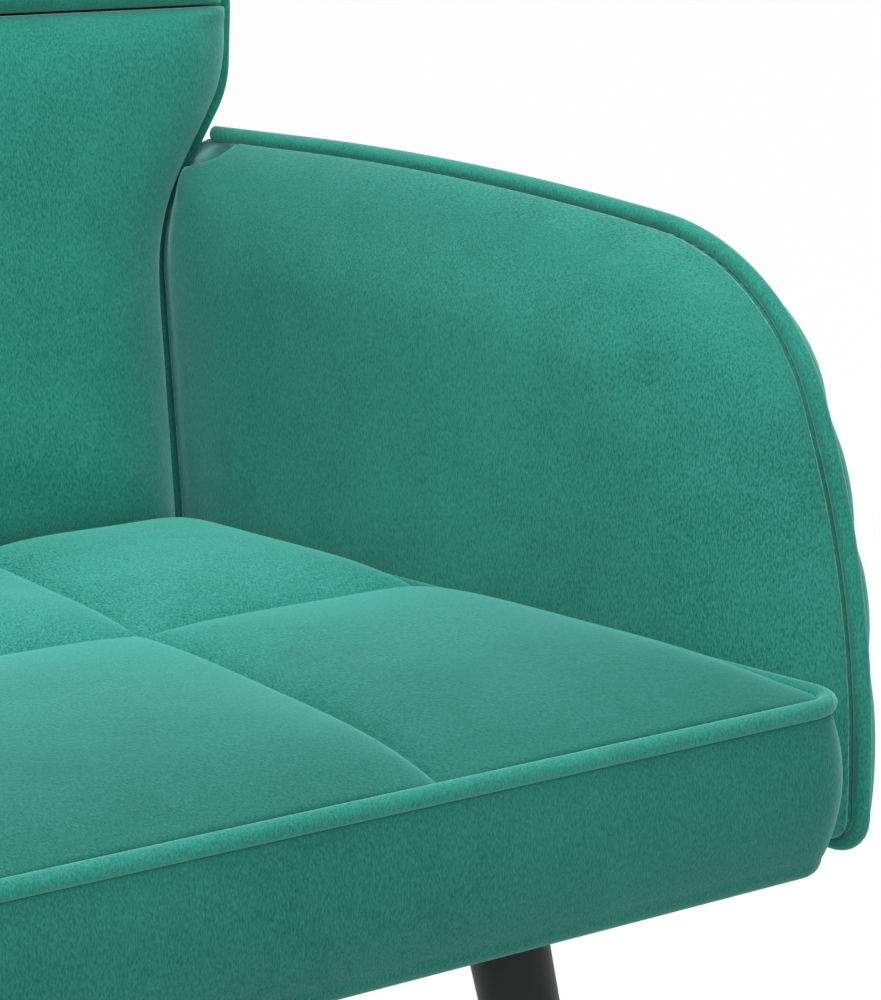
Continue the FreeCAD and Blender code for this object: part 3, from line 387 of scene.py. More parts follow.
def inside(points: np.ndarray, ring: np.ndarray) -> np.ndarray:
    """Mask of the flat points that a closed outline holds."""
    held = np.zeros(len(points), bool)
    for (a0, b0), (a1, b1) in zip(ring, np.roll(ring, -1, axis=0)):
        crosses = (b0 > points[:, 1]) != (b1 > points[:, 1])
        slope = (a1 - a0) / (b1 - b0) if b1 != b0 else 0.0
        held ^= crosses & (points[:, 0] < a0 + (points[:, 1] - b0) * slope)
    return held


def section(node: bpy.types.Object, to_local: Shares, axis: int, depth: float) -> np.ndarray:
    """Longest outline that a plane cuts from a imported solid.

    Args:
        node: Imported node.
        to_local: Turns the sofa's frame into that of the sub-assembly.
        axis: Local axis that the plane is square to.
        depth: Place of the plane on that axis.

    Returns:
        The outline on the other two axes, anticlockwise.
    """
    work = bmesh.new()
    work.from_mesh(node.data)
    bmesh.ops.remove_doubles(work, verts=work.verts, dist=1e-5)
    for vertex, spot in zip(work.verts, to_local(np.array([v.co for v in work.verts]))):
        vertex.co = spot
    square = np.eye(3)[axis]
    everything = [*work.verts, *work.edges, *work.faces]
    bmesh.ops.bisect_plane(work, geom=everything, plane_co=square * depth, plane_no=square,
                           clear_inner=True, clear_outer=True)
    loops: list[list[bmesh.types.BMVert]] = []
    left = set(work.verts)
    while left:
        loop = [left.pop()]
        while True:
            beside = [e.other_vert(loop[-1]) for e in loop[-1].link_edges]
            fresh = [v for v in beside if v in left]
            if not fresh:
                break
            left.discard(fresh[0])
            loop.append(fresh[0])
        loops.append(loop)
    flat = [a for a in range(3) if a != axis]
    rings = [np.array([v.co for v in loop])[:, flat] for loop in loops if len(loop) > 2]
    work.free()
    ring = max(rings, key=lambda r: path_length(r, True))
    a, b = ring[:, 0], ring[:, 1]
    area = float(np.sum(a * np.roll(b, -1) - np.roll(a, -1) * b))
    return ring if area > 0 else ring[::-1]


@dataclass(frozen=True)
class PadForm:
    """Closed pad on an outline: a flat side that lies on its board, and a crowned one."""

    step: float = 0.007
    rims: tuple[float, ...] = (0.0012, 0.003, 0.0055, 0.009, 0.0135)
    clear: float = 0.55
    coarser: float = 3.0

    def fill(self, ring: np.ndarray, extra: np.ndarray | None = None) -> np.ndarray:
        """Points inside an outline: rows beside its edge, chosen lines, and an even spread.

        Args:
            ring: Evenly spaced outline.
            extra: Further points, such as those of sewn lines; None for none.

        Returns:
            The points, none too near to another row.
        """
        ahead = np.roll(ring, -1, axis=0) - np.roll(ring, 1, axis=0)
        inwards = np.column_stack([-ahead[:, 1], ahead[:, 0]]) / np.linalg.norm(ahead, axis=1, keepdims=True)
        rows = []
        for depth in self.rims:
            row = ring + inwards * depth
            rows.append(row[inside(row, ring) & (edge_distance(row, ring) > 0.9 * depth)])
        low, high = ring.min(0), ring.max(0)
        lines = np.arange(low[1], high[1], self.step * math.sqrt(3) / 2)
        spots = []
        for i, b in enumerate(lines):
            a = np.arange(low[0] + self.step * 0.5 * (i % 2), high[0], self.step)
            spots.append(np.column_stack([a, np.full(len(a), b)]))
        even = np.vstack(spots)
        reach = max(self.rims, default=0.0) + self.step * self.clear
        even = even[inside(even, ring) & (edge_distance(even, ring) > reach)]
        if extra is not None:
            extra = extra[inside(extra, ring) & (edge_distance(extra, ring) > reach)]
            gaps = np.array([np.linalg.norm(extra - spot, axis=1).min() for spot in even])
            even = np.vstack([even[gaps > self.step * self.clear], extra])
        return np.vstack([*rows, even])

    @staticmethod
    def triangles(points: np.ndarray, edge: int) -> tuple[np.ndarray, list[tuple[int, ...]]]:
        """Triangles over flat points whose first ones are the outline.

        Args:
            points: Outline and then inner points.
            edge: Number of outline points.

        Returns:
            The points in use, the outline still first, and the triangles.
        """
        bounds = [(i, (i + 1) % edge) for i in range(edge)]
        spots, _, faces, sources, _, _ = delaunay_2d_cdt([Vector(p) for p in points], bounds, [], 1, 1e-7)
        order = sorted(range(len(spots)), key=lambda i: min(sources[i], default=len(points)))
        place = {old: new for new, old in enumerate(order)}
        return np.array([spots[i] for i in order]), [tuple(place[i] for i in face) for face in faces]

    def flat_side(self, ring: np.ndarray) -> tuple[np.ndarray, list[tuple[int, ...]]]:
        """Points, the outline first, and triangles of a flat side with coarser faces."""
        coarse = PadForm(step=self.step * self.coarser, rims=())
        return self.triangles(np.vstack([ring, coarse.fill(ring)]), len(ring))

    def build(self, name: str, outline: np.ndarray, relief: Relief, base: float,
              place: Relief, extra: np.ndarray | None = None) -> bpy.types.Object:
        """Make the pad.

        Args:
            name: Name of the piece.
            outline: Closed outline of the pad.
            relief: Depth of the crowned side, from flat points and the outline.
            base: Depth of the flat side.
            place: Turns flat points and their depths into the sofa's frame.
            extra: Points of sewn lines on the crowned side.

        Returns:
            The closed object.
        """
        ring = spread(outline, round(path_length(outline, True) / self.step), closed=True)
        count = len(ring)
        points, faces = self.triangles(np.vstack([ring, self.fill(ring, extra)]), count)
        under, rear = self.flat_side(ring)
        crowned = place(points, relief(points, ring))
        flat = place(under, np.full(len(under), base))
        first = len(points)
        faces += [tuple(first + i for i in reversed(face)) for face in rear]
        for i in range(count):
            k = (i + 1) % count
            faces.append((k, i, first + i, first + k))
        return mesh_piece(name, np.vstack([crowned, flat]), faces)


@dataclass(frozen=True)
class Padding:
    """How a cover is remeshed, swollen as cloth and relaxed."""

    voxel: float = 0.007
    relax: int = 24
    edge_relax: int = 3
    grow: float = 0.001
    edge_grow: float = 0.003
    pressure: float = 4.0
    travel: float = 0.005
    frames: int = 10
    settle: int = 12

    @staticmethod
    def smoothed(piece: bpy.types.Object, times: int) -> np.ndarray:
        """Positions of a piece after smoothing, which the piece itself doesn't keep."""
        smooth = piece.modifiers.new("relax", "SMOOTH")
        smooth.factor = 0.5
        smooth.iterations = times
        graph = bpy.context.evaluated_depsgraph_get()
        points = positions(piece.evaluated_get(graph).data)
        piece.modifiers.remove(smooth)
        return points

    def remesh(self, piece: bpy.types.Object, crisp: Shares) -> None:
        """Even the mesh out, relax it away from its sewn edges and let it fill its seams.

        Args:
            piece: Closed copy of a solid.
            crisp: Share, for each point, by which a sewn edge stays as cut.
        """
        voxels = piece.modifiers.new("even", "REMESH")
        voxels.mode = "VOXEL"
        voxels.voxel_size = self.voxel
        bake(piece)
        kept = crisp(positions(piece.data))[:, None]
        edge = self.smoothed(piece, self.edge_relax)
        middle = self.smoothed(piece, self.relax)
        set_positions(piece.data, edge * kept + middle * (1 - kept))
        normals = np.empty(len(kept) * 3)
        piece.data.vertex_normals.foreach_get("vector", normals)
        lift = self.grow + (self.edge_grow - self.grow) * kept
        set_positions(piece.data, positions(piece.data) + normals.reshape(-1, 3) * lift)

    def swell(self, piece: bpy.types.Object, crisp: Shares) -> None:
        """Swell a closed cover as cloth under pressure, and even out what its edges gather.

        Args:
            piece: Closed mesh.
            crisp: Share, for each point, by which it is sewn or stapled down.
        """
        before = positions(piece.data)
        held = crisp(before)
        move = self.simulate(piece, held > 0.5) - before
        length = np.linalg.norm(move, axis=1, keepdims=True)
        limited = move * np.minimum(1.0, self.travel / np.maximum(length, 1e-9))
        set_positions(piece.data, before + limited)
        settled = self.smoothed(piece, self.settle)
        kept = held[:, None]
        set_positions(piece.data, before * kept + settled * (1 - kept))

    def simulate(self, piece: bpy.types.Object, held: np.ndarray) -> np.ndarray:
        """Run the cloth.

        Args:
            piece: Closed mesh.
            held: Mask of the vertices that don't move.

        Returns:
            Positions after the last frame.
        """
        scene = bpy.context.scene
        group = piece.vertex_groups.new(name="held")
        group.add(np.flatnonzero(held).tolist(), 1.0, "REPLACE")
        cloth = piece.modifiers.new("swell", "CLOTH")
        fabric = cloth.settings
        fabric.quality = 4
        fabric.mass = 0.3
        fabric.tension_stiffness = 20
        fabric.compression_stiffness = 20
        fabric.shear_stiffness = 8
        fabric.bending_stiffness = 4
        fabric.use_pressure = True
        fabric.uniform_pressure_force = self.pressure
        fabric.effector_weights.gravity = 0
        fabric.vertex_group_mass = group.name
        cloth.collision_settings.use_collision = False
        cloth.point_cache.frame_start = 1
        cloth.point_cache.frame_end = self.frames
        for frame in range(1, self.frames + 1):
            scene.frame_set(frame)
        graph = bpy.context.evaluated_depsgraph_get()
        after = positions(piece.evaluated_get(graph).data)
        piece.modifiers.clear()
        piece.vertex_groups.clear()
        scene.frame_set(1)
        return after


def refine(piece: bpy.types.Object) -> None:
    """Divide every face once, rounding the form."""
    divide = piece.modifiers.new("refine", "SUBSURF")
    divide.levels = 1
    divide.render_levels = 1
    bake(piece)


def grown(node: bpy.types.Object, name: str, skin: float) -> bpy.types.Object:
    """Copy of a hard node with a skin of cloth round it."""
    piece = solid_copy(node, name)
    normals = np.empty(len(piece.data.vertices) * 3)
    piece.data.vertex_normals.foreach_get("vector", normals)
    set_positions(piece.data, positions(piece.data) + normals.reshape(-1, 3) * skin)
    piece.data.set_sharp_from_angle(angle=math.radians(35))
    return piece


# Shader work


class Shading:
    """Small builder for a node tree.

    Args:
        tree: Tree that receives the nodes.
    """

    def __init__(self, tree: bpy.types.NodeTree) -> None:
        """Keep the tree."""
        self.tree = tree

    def add(self, kind: str, settings: dict[str, object] | None = None,
            **inputs: object) -> bpy.types.Node:
        """Add a node, set its properties, and fill or link its inputs.

        Args:
            kind: Node type without its ShaderNode prefix.
            settings: Properties of the node.
            inputs: Input values or source sockets; underscores stand for spaces.

        Returns:
            The new node.
        """
        node = self.tree.nodes.new("ShaderNode" + kind)
        for key, value in (settings or {}).items():
            setattr(node, key, value)
        for key, value in inputs.items():
            name = key.replace("_", " ")
            socket = node.inputs[int(key[1:])] if key[0] == "i" and key[1:].isdigit() else node.inputs[name]
            self.feed(socket, value)
        return node

    def feed(self, socket: bpy.types.NodeSocket, value: object) -> None:
        """Link a source socket, or set a plain value."""
        if isinstance(value, bpy.types.NodeSocket):
            self.tree.links.new(value, socket)
        else:
            socket.default_value = value

    def math(self, operation: str, first: object, second: object = 0.0) -> bpy.types.NodeSocket:
        """Output of a math node."""
        return self.add("Math", {"operation": operation}, i0=first, i1=second).outputs[0]

    def ramp(self, factor: object, low: float, high: float) -> bpy.types.NodeSocket:
        """Factor stretched so that low becomes 0 and high becomes 1."""
        node = self.add("MapRange", {"interpolation_type": "SMOOTHSTEP"}, Value=factor,
                        From_Min=low, From_Max=high)
        return node.outputs["Result"]

    def mix(self, factor: object, first: object, second: object) -> bpy.types.NodeSocket:
        """Colour between two colours."""
        node = self.add("Mix", {"data_type": "RGBA"}, i0=factor, i6=first, i7=second)
        return node.outputs[2]

    def blend(self, factor: object, first: object, second: object) -> bpy.types.NodeSocket:
        """Value between two values."""
        return self.add("Mix", {"data_type": "FLOAT"}, i0=factor, i2=first, i3=second).outputs[0]

    def noise(self, vector: object, scale: float, detail: float, rough: float = 0.5) -> bpy.types.NodeSocket:
        """Factor of a noise texture."""
        return self.add("TexNoise", Vector=vector, Scale=scale, Detail=detail, Roughness=rough).outputs[0]


Socket = tuple[str, str, float | None]


def shader_group(name: str, inputs: Sequence[Socket], outputs: Sequence[tuple[str, str]]) -> tuple[
        bpy.types.NodeTree, bpy.types.Node, bpy.types.Node, Shading]:
    """New shader node group with its input and output nodes.

    Args:
        name: Name of the group.
        inputs: Name, socket type and default of each input.
        outputs: Name and socket type of each output.

    Returns:
        The group, its input node, its output node and a builder for it.
    """
    tree = bpy.data.node_groups.new(name, "ShaderNodeTree")
    for label, kind, value in inputs:
        socket = tree.interface.new_socket(name=label, in_out="INPUT", socket_type=kind)
        if value is not None:
            socket.default_value = value
    for label, kind in outputs:
        tree.interface.new_socket(name=label, in_out="OUTPUT", socket_type=kind)
    return tree, tree.nodes.new("NodeGroupInput"), tree.nodes.new("NodeGroupOutput"), Shading(tree)


class Effects:
    """Shared shader groups, each built once."""

    def __init__(self) -> None:
        """Build every group."""
        self.pile = self._pile()
        self.grain = self._grain()
        self.fleck = self._fleck()
        self.weave = self._weave()

    @staticmethod
    def _pile() -> bpy.types.NodeTree:
        """Velvet pile: brushed patches, short strokes of the pile, painted glints, and a height for the bump."""
        tree, entry, leave, make = shader_group(
            "velvet_pile",
            [("Vector", "NodeSocketVector", None), ("Lying", "NodeSocketFloat", 0.0),
             ("Patch Scale", "NodeSocketFloat", 22.0)],
            [("Tone", "NodeSocketFloat"), ("Roughness", "NodeSocketFloat"), ("Height", "NodeSocketFloat")],
        )
        vector = entry.outputs["Vector"]
        broad = make.noise(vector, 5.0, 2.0)
        patch = make.add("TexNoise", Vector=vector, Scale=entry.outputs["Patch Scale"], Detail=4.0,
                         Roughness=0.6, Distortion=0.5).outputs[0]
        lengthwise = make.add("Mapping", Vector=vector, Scale=(1300.0, 450.0, 1300.0)).outputs[0]
        upright = make.add("Mapping", Vector=vector, Scale=(1300.0, 1300.0, 420.0)).outputs[0]
        lying = make.noise(lengthwise, 1.0, 2.0, 0.6)
        standing = make.noise(upright, 1.0, 2.0, 0.6)
        strokes = make.blend(entry.outputs["Lying"], standing, lying)
        # The specks add painted glints, highlights of the pile's fibre tips, to the tone.
        specks = make.ramp(make.noise(vector, 420.0, 1.0), 0.62, 0.78)
        wide = make.math("MULTIPLY", make.ramp(broad, 0.25, 0.75), 0.12)
        close = make.math("MULTIPLY", make.ramp(patch, 0.2, 0.8), 0.16)
        fine = make.math("MULTIPLY", make.ramp(strokes, 0.22, 0.78), 0.70)
        glint = make.math("MULTIPLY", specks, 0.20)
        tone = make.math("ADD", make.math("ADD", wide, close), make.math("ADD", fine, glint))
        rough = make.math("SUBTRACT", 0.95, make.math("MULTIPLY", tone, 0.15))
        make.feed(leave.inputs["Tone"], tone)
        make.feed(leave.inputs["Roughness"], rough)
        make.feed(leave.inputs["Height"], strokes)
        return tree

    @staticmethod
    def _grain() -> bpy.types.NodeTree:
        """Planed timber: growth rings stretched along the board, pores and a height."""
        tree, entry, leave, make = shader_group(
            "timber_grain",
            [("Vector", "NodeSocketVector", None), ("Ring Scale", "NodeSocketFloat", 70.0)],
            [("Ring", "NodeSocketFloat"), ("Height", "NodeSocketFloat")],
        )
        warped = make.add("Mapping", Vector=entry.outputs["Vector"], Scale=(0.35, 1.0, 1.0)).outputs[0]
        drift = make.noise(warped, 9.0, 3.0)
        bands = make.add("TexWave", {"wave_type": "BANDS", "bands_direction": "Z"}, Vector=warped,
                         Scale=entry.outputs["Ring Scale"], Distortion=6.0, Detail=3.0).outputs["Fac"]
        pores = make.noise(make.add("Mapping", Vector=entry.outputs["Vector"],
                                    Scale=(40.0, 900.0, 900.0)).outputs[0], 1.0, 2.0)
        ring = make.math("ADD", make.math("MULTIPLY", bands, 0.5), make.math("MULTIPLY", drift, 0.5))
        make.feed(leave.inputs["Ring"], ring)
        make.feed(leave.inputs["Height"], make.math("ADD", make.math("MULTIPLY", ring, 0.4), pores))
        return tree

    @staticmethod
    def _fleck() -> bpy.types.NodeTree:
        """Fine unevenness of a coated or moulded surface, with light scuffs."""
        tree, entry, leave, make = shader_group(
            "fine_fleck",
            [("Vector", "NodeSocketVector", None), ("Scale", "NodeSocketFloat", 1200.0)],
            [("Fleck", "NodeSocketFloat"), ("Scuff", "NodeSocketFloat"), ("Height", "NodeSocketFloat")],
        )
        fleck = make.add("TexNoise", Vector=entry.outputs["Vector"], Scale=entry.outputs["Scale"],
                         Detail=2.0).outputs[0]
        scuff = make.ramp(make.noise(entry.outputs["Vector"], 35.0, 6.0, 0.7), 0.52, 0.75)
        make.feed(leave.inputs["Fleck"], fleck)
        make.feed(leave.inputs["Scuff"], scuff)
        make.feed(leave.inputs["Height"], fleck)
        return tree

    @staticmethod
    def _weave() -> bpy.types.NodeTree:
        """Crossed threads of webbing and non-woven cloth."""
        tree, entry, leave, make = shader_group(
            "crossed_threads",
            [("Vector", "NodeSocketVector", None), ("Scale", "NodeSocketFloat", 260.0)],
            [("Thread", "NodeSocketFloat"), ("Height", "NodeSocketFloat")],
        )
        waves = []
        for direction in ("X", "Y"):
            waves.append(make.add("TexWave", {"bands_direction": direction}, Vector=entry.outputs["Vector"],
                                  Scale=entry.outputs["Scale"], Distortion=0.6, Detail=1.0).outputs["Fac"])
        thread = make.math("MAXIMUM", *waves)
        make.feed(leave.inputs["Thread"], thread)
        make.feed(leave.inputs["Height"], thread)
        return tree


Colour = tuple[float, float, float]


def rgba(colour: Colour) -> tuple[float, float, float, float]:
    """Colour with full opacity."""
    return (*colour, 1.0)


def blank_material(name: str) -> tuple[bpy.types.Material, Shading, bpy.types.Node, bpy.types.NodeSocket]:
    """New node material.

    Args:
        name: Name of the material.

    Returns:
        The material, a builder for it, its Principled shader and the Object coordinates.
    """
    material = bpy.data.materials.new(name)
    material.use_nodes = True
    make = Shading(material.node_tree)
    shader = material.node_tree.nodes["Principled BSDF"]
    return material, make, shader, make.add("TexCoord").outputs["Object"]


@dataclass(frozen=True)
class Velvet:
    """Short-pile velvet, with a painted light gradient that scales its tone from front to rear."""

    deep: Colour = (0.008, 0.130, 0.098)
    light: Colour = (0.036, 0.330, 0.255)
    sheen_tint: Colour = (0.42, 0.97, 0.88)
    sheen: float = 0.75
    sheen_roughness: float = 0.42
    bump: float = 0.4
    nap_front: float = 1.0
    nap_rear: float = 1.0
    nap_reach: tuple[float, float] = (-0.30, 0.20)

    def material(self, effects: Effects, name: str) -> bpy.types.Material:
        """Material of this velvet, its tone lightened or darkened along the sofa's depth by painted light."""
        material, make, shader, place = blank_material(name)
        facing = make.add("SeparateXYZ", Vector=make.add("NewGeometry").outputs["Normal"]).outputs["Z"]
        lying = make.ramp(make.math("ABSOLUTE", facing), 0.45, 0.75)
        pile = make.add("Group", {"node_tree": effects.pile}, Vector=place, Lying=lying)
        # Painted light: the tone is scaled from the front value to the rear value along Y, standing in for how light
        # falls on the sofa.
        along = make.ramp(make.add("SeparateXYZ", Vector=place).outputs["Y"], *self.nap_reach)
        painted_light_scale = make.blend(along, self.nap_front, self.nap_rear)
        tone = make.math("MULTIPLY", pile.outputs["Tone"], painted_light_scale)
        make.feed(shader.inputs["Base Color"], make.mix(tone, rgba(self.deep), rgba(self.light)))
        make.feed(shader.inputs["Roughness"], pile.outputs["Roughness"])
        shader.inputs["Specular IOR Level"].default_value = 0.2
        shader.inputs["Sheen Weight"].default_value = self.sheen
        shader.inputs["Sheen Roughness"].default_value = self.sheen_roughness
        shader.inputs["Sheen Tint"].default_value = rgba(self.sheen_tint)
        bump = make.add("Bump", Height=pile.outputs["Height"], Strength=self.bump, Distance=0.0008)
        make.feed(shader.inputs["Normal"], bump.outputs["Normal"])
        return material


@dataclass(frozen=True)
class Timber:
    """Planed pine or raw plywood."""

    dark: Colour
    pale: Colour
    ring_scale: float

    def material(self, effects: Effects, name: str) -> bpy.types.Material:
        """Material of this timber."""
        material, make, shader, place = blank_material(name)
        grain = make.add("Group", {"node_tree": effects.grain}, Vector=place, Ring_Scale=self.ring_scale)
        make.feed(shader.inputs["Base Color"], make.mix(grain.outputs["Ring"], rgba(self.dark), rgba(self.pale)))
        make.feed(shader.inputs["Roughness"], make.math("ADD", make.math("MULTIPLY", grain.outputs["Ring"], 0.2), 0.55))
        bump = make.add("Bump", Height=grain.outputs["Height"], Strength=0.2, Distance=0.0004)
        make.feed(shader.inputs["Normal"], bump.outputs["Normal"])
        return material


@dataclass(frozen=True)
class Coated:
    """Powder-coated, plated or moulded hard surface."""

    colour: Colour
    worn: Colour
    roughness: float
    metallic: float = 0.0
    scale: float = 1200.0
    bump: float = 0.08
    specular: float = 0.5

    def material(self, effects: Effects, name: str) -> bpy.types.Material:
        """Material of this surface."""
        material, make, shader, place = blank_material(name)
        fleck = make.add("Group", {"node_tree": effects.fleck}, Vector=place, Scale=self.scale)
        scuffed = make.math("MULTIPLY", fleck.outputs["Scuff"], 0.5)
        make.feed(shader.inputs["Base Color"], make.mix(scuffed, rgba(self.colour), rgba(self.worn)))
        rough = make.math("MULTIPLY", fleck.outputs["Fleck"], 0.12)
        make.feed(shader.inputs["Roughness"], make.math("ADD", rough, self.roughness))
        shader.inputs["Metallic"].default_value = self.metallic
        shader.inputs["Specular IOR Level"].default_value = self.specular
        bump = make.add("Bump", Height=fleck.outputs["Height"], Strength=self.bump, Distance=0.0003)
        make.feed(shader.inputs["Normal"], bump.outputs["Normal"])
        return material


@dataclass(frozen=True)
class Cloth:
    """Webbing, non-woven cloth and cut foam."""

    dark: Colour
    pale: Colour
    scale: float

    def material(self, effects: Effects, name: str) -> bpy.types.Material:
        """Material of this cloth."""
        material, make, shader, place = blank_material(name)
        weave = make.add("Group", {"node_tree": effects.weave}, Vector=place, Scale=self.scale)
        make.feed(shader.inputs["Base Color"], make.mix(weave.outputs["Thread"], rgba(self.dark), rgba(self.pale)))
        make.feed(shader.inputs["Roughness"], make.math("ADD", make.math("MULTIPLY", weave.outputs["Thread"], 0.1), 0.8))
        bump = make.add("Bump", Height=weave.outputs["Height"], Strength=0.3, Distance=0.0005)
        make.feed(shader.inputs["Normal"], bump.outputs["Normal"])
        return material


@dataclass
class Finishes:
    """Every finish of the sofa as a material, by the record's slot."""

    effects: Effects = field(default_factory=Effects)
    by_slot: dict[str, bpy.types.Material] = field(default_factory=dict)

    def build(self) -> None:
        """Make each slot's material."""
        finishes = {
            # Arm velvet with painted light: lighter towards the front and shaded towards the back.
            "velvet": Velvet(deep=(0.008, 0.107, 0.081), light=(0.032, 0.288, 0.223), nap_front=1.5, nap_rear=0.95),
            # Back velvet: a copy whose tone is evenly raised as painted light.
            "velvet_back": Velvet(nap_front=1.3, nap_rear=1.3),
            # Seat velvet with painted light: shaded at the front and lit towards the rear.
            "velvet_seat": Velvet(deep=(0.005, 0.080, 0.060), light=(0.046, 0.380, 0.305), sheen=0.66,
                                  sheen_tint=(0.30, 0.95, 0.86), nap_front=0.43, nap_rear=1.7),
            # Border velvet: a darker copy, painted shade on its front face.
            "velvet_border": Velvet(deep=(0.006, 0.096, 0.072), light=(0.026, 0.240, 0.186), sheen=0.6),
            "velvet_piping": Velvet(deep=(0.009, 0.140, 0.106), light=(0.038, 0.350, 0.270)),
            "webbing": Cloth((0.02, 0.02, 0.02), (0.09, 0.09, 0.09), 260.0),
            "dust_cover": Cloth((0.012, 0.012, 0.012), (0.03, 0.03, 0.03), 420.0),
            "foam": Cloth((0.68, 0.62, 0.42), (0.8, 0.75, 0.55), 350.0),
            "timber": Timber((0.42, 0.27, 0.14), (0.66, 0.48, 0.29), 70.0),
            "plywood": Timber((0.5, 0.35, 0.2), (0.7, 0.54, 0.35), 160.0),
            "black_steel": Coated((0.005, 0.0075, 0.007), (0.012, 0.014, 0.013), 0.42, specular=0.27),
            "glide_plastic": Coated((0.014, 0.014, 0.014), (0.03, 0.03, 0.03), 0.5, scale=2500.0),
            "hardware": Coated((0.55, 0.54, 0.5), (0.4, 0.39, 0.36), 0.3, metallic=1.0),
        }
        for slot, finish in finishes.items():
            self.by_slot[slot] = finish.material(self.effects, slot)

    def dress(self, piece: bpy.types.Object, slot: str) -> None:
        """Give a piece the material of a slot."""
        piece.data.materials.clear()
        piece.data.materials.append(self.by_slot[slot])


# Geometry Nodes


class PathTree:
    """Geometry Nodes tree that runs a round section along a path.

    Args:
        name: Name of the tree.
    """

    def __init__(self, name: str) -> None:
        """Build the tree with its named inputs."""
        self.tree = bpy.data.node_groups.new(name, "GeometryNodeTree")
        face = self.tree.interface
        face.new_socket(name="Geometry", in_out="INPUT", socket_type="NodeSocketGeometry")
        self.radius = face.new_socket(name="Radius", in_out="INPUT", socket_type="NodeSocketFloat").identifier
        self.sides = face.new_socket(name="Sides", in_out="INPUT", socket_type="NodeSocketInt").identifier
        self.finish = face.new_socket(name="Finish", in_out="INPUT", socket_type="NodeSocketMaterial").identifier
        face.new_socket(name="Geometry", in_out="OUTPUT", socket_type="NodeSocketGeometry")
        nodes, links = self.tree.nodes, self.tree.links
        entry = nodes.new("NodeGroupInput")
        leave = nodes.new("NodeGroupOutput")
        section = nodes.new("GeometryNodeCurvePrimitiveCircle")
        sweep = nodes.new("GeometryNodeCurveToMesh")
        sweep.inputs["Fill Caps"].default_value = True
        smooth = nodes.new("GeometryNodeSetShadeSmooth")
        real = nodes.new("GeometryNodeRealizeInstances")
        paint = nodes.new("GeometryNodeSetMaterial")
        links.new(entry.outputs["Radius"], section.inputs["Radius"])
        links.new(entry.outputs["Sides"], section.inputs["Resolution"])
        links.new(entry.outputs["Geometry"], sweep.inputs["Curve"])
        links.new(section.outputs["Curve"], sweep.inputs["Profile Curve"])
        links.new(sweep.outputs["Mesh"], smooth.inputs["Geometry"])
        links.new(smooth.outputs["Geometry"], real.inputs["Geometry"])
        links.new(real.outputs["Geometry"], paint.inputs["Geometry"])
        links.new(entry.outputs["Finish"], paint.inputs["Material"])
        links.new(paint.outputs["Geometry"], leave.inputs["Geometry"])

    def run(self, name: str, path: np.ndarray, closed: bool, radius: float,
            material: bpy.types.Material) -> bpy.types.Object:
        """Round bar along a path, as a plain mesh.

        Args:
            name: Name of the piece.
            path: Points along the middle.
            closed: Whether the path returns to its first point.
            radius: Radius of the section.
            material: Finish of the bar.

        Returns:
            The finished object.
        """
        curve = bpy.data.curves.new(name + "_path", "CURVE")
        curve.dimensions = "3D"
        spline = curve.splines.new("POLY")
        spline.points.add(len(path) - 1)
        spline.points.foreach_set("co", np.column_stack([path, np.ones(len(path))]).ravel())
        spline.use_cyclic_u = closed
        guide = bpy.data.objects.new(name + "_path", curve)
        bpy.context.scene.collection.objects.link(guide)
        modifier = guide.modifiers.new("sweep", "NODES")
        modifier.node_group = self.tree
        modifier[self.radius] = radius
        modifier[self.sides] = 16
        modifier[self.finish] = material
        graph = bpy.context.evaluated_depsgraph_get()
        mesh = bpy.data.meshes.new_from_object(guide.evaluated_get(graph))
        bpy.data.objects.remove(guide)
        piece = bpy.data.objects.new(name, mesh)
        bpy.context.scene.collection.objects.link(piece)
        return piece


@dataclass
class Workshop:
    """What every sub-assembly needs: sizes, frames, finishes and the path tree."""

    sizes: SofaSizes
    frames: Frames
    finishes: Finishes
    welt: PathTree
    nodes: dict[str, bpy.types.Object]

    def install(self, piece: bpy.types.Object, slot: str, *nodes: str, fill: float | None = None,
                finish: str | None = None) -> None:
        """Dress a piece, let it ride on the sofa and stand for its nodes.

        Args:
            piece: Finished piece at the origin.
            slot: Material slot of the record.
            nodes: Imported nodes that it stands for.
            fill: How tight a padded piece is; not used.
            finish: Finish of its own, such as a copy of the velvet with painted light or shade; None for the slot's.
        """
        self.finishes.dress(piece, finish or slot)
        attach(piece, "root")
        if nodes:
            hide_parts(*nodes)
        LOG.info("%s: %d faces, slot %s", piece.name, len(piece.data.polygons), slot)


# Sub-assemblies


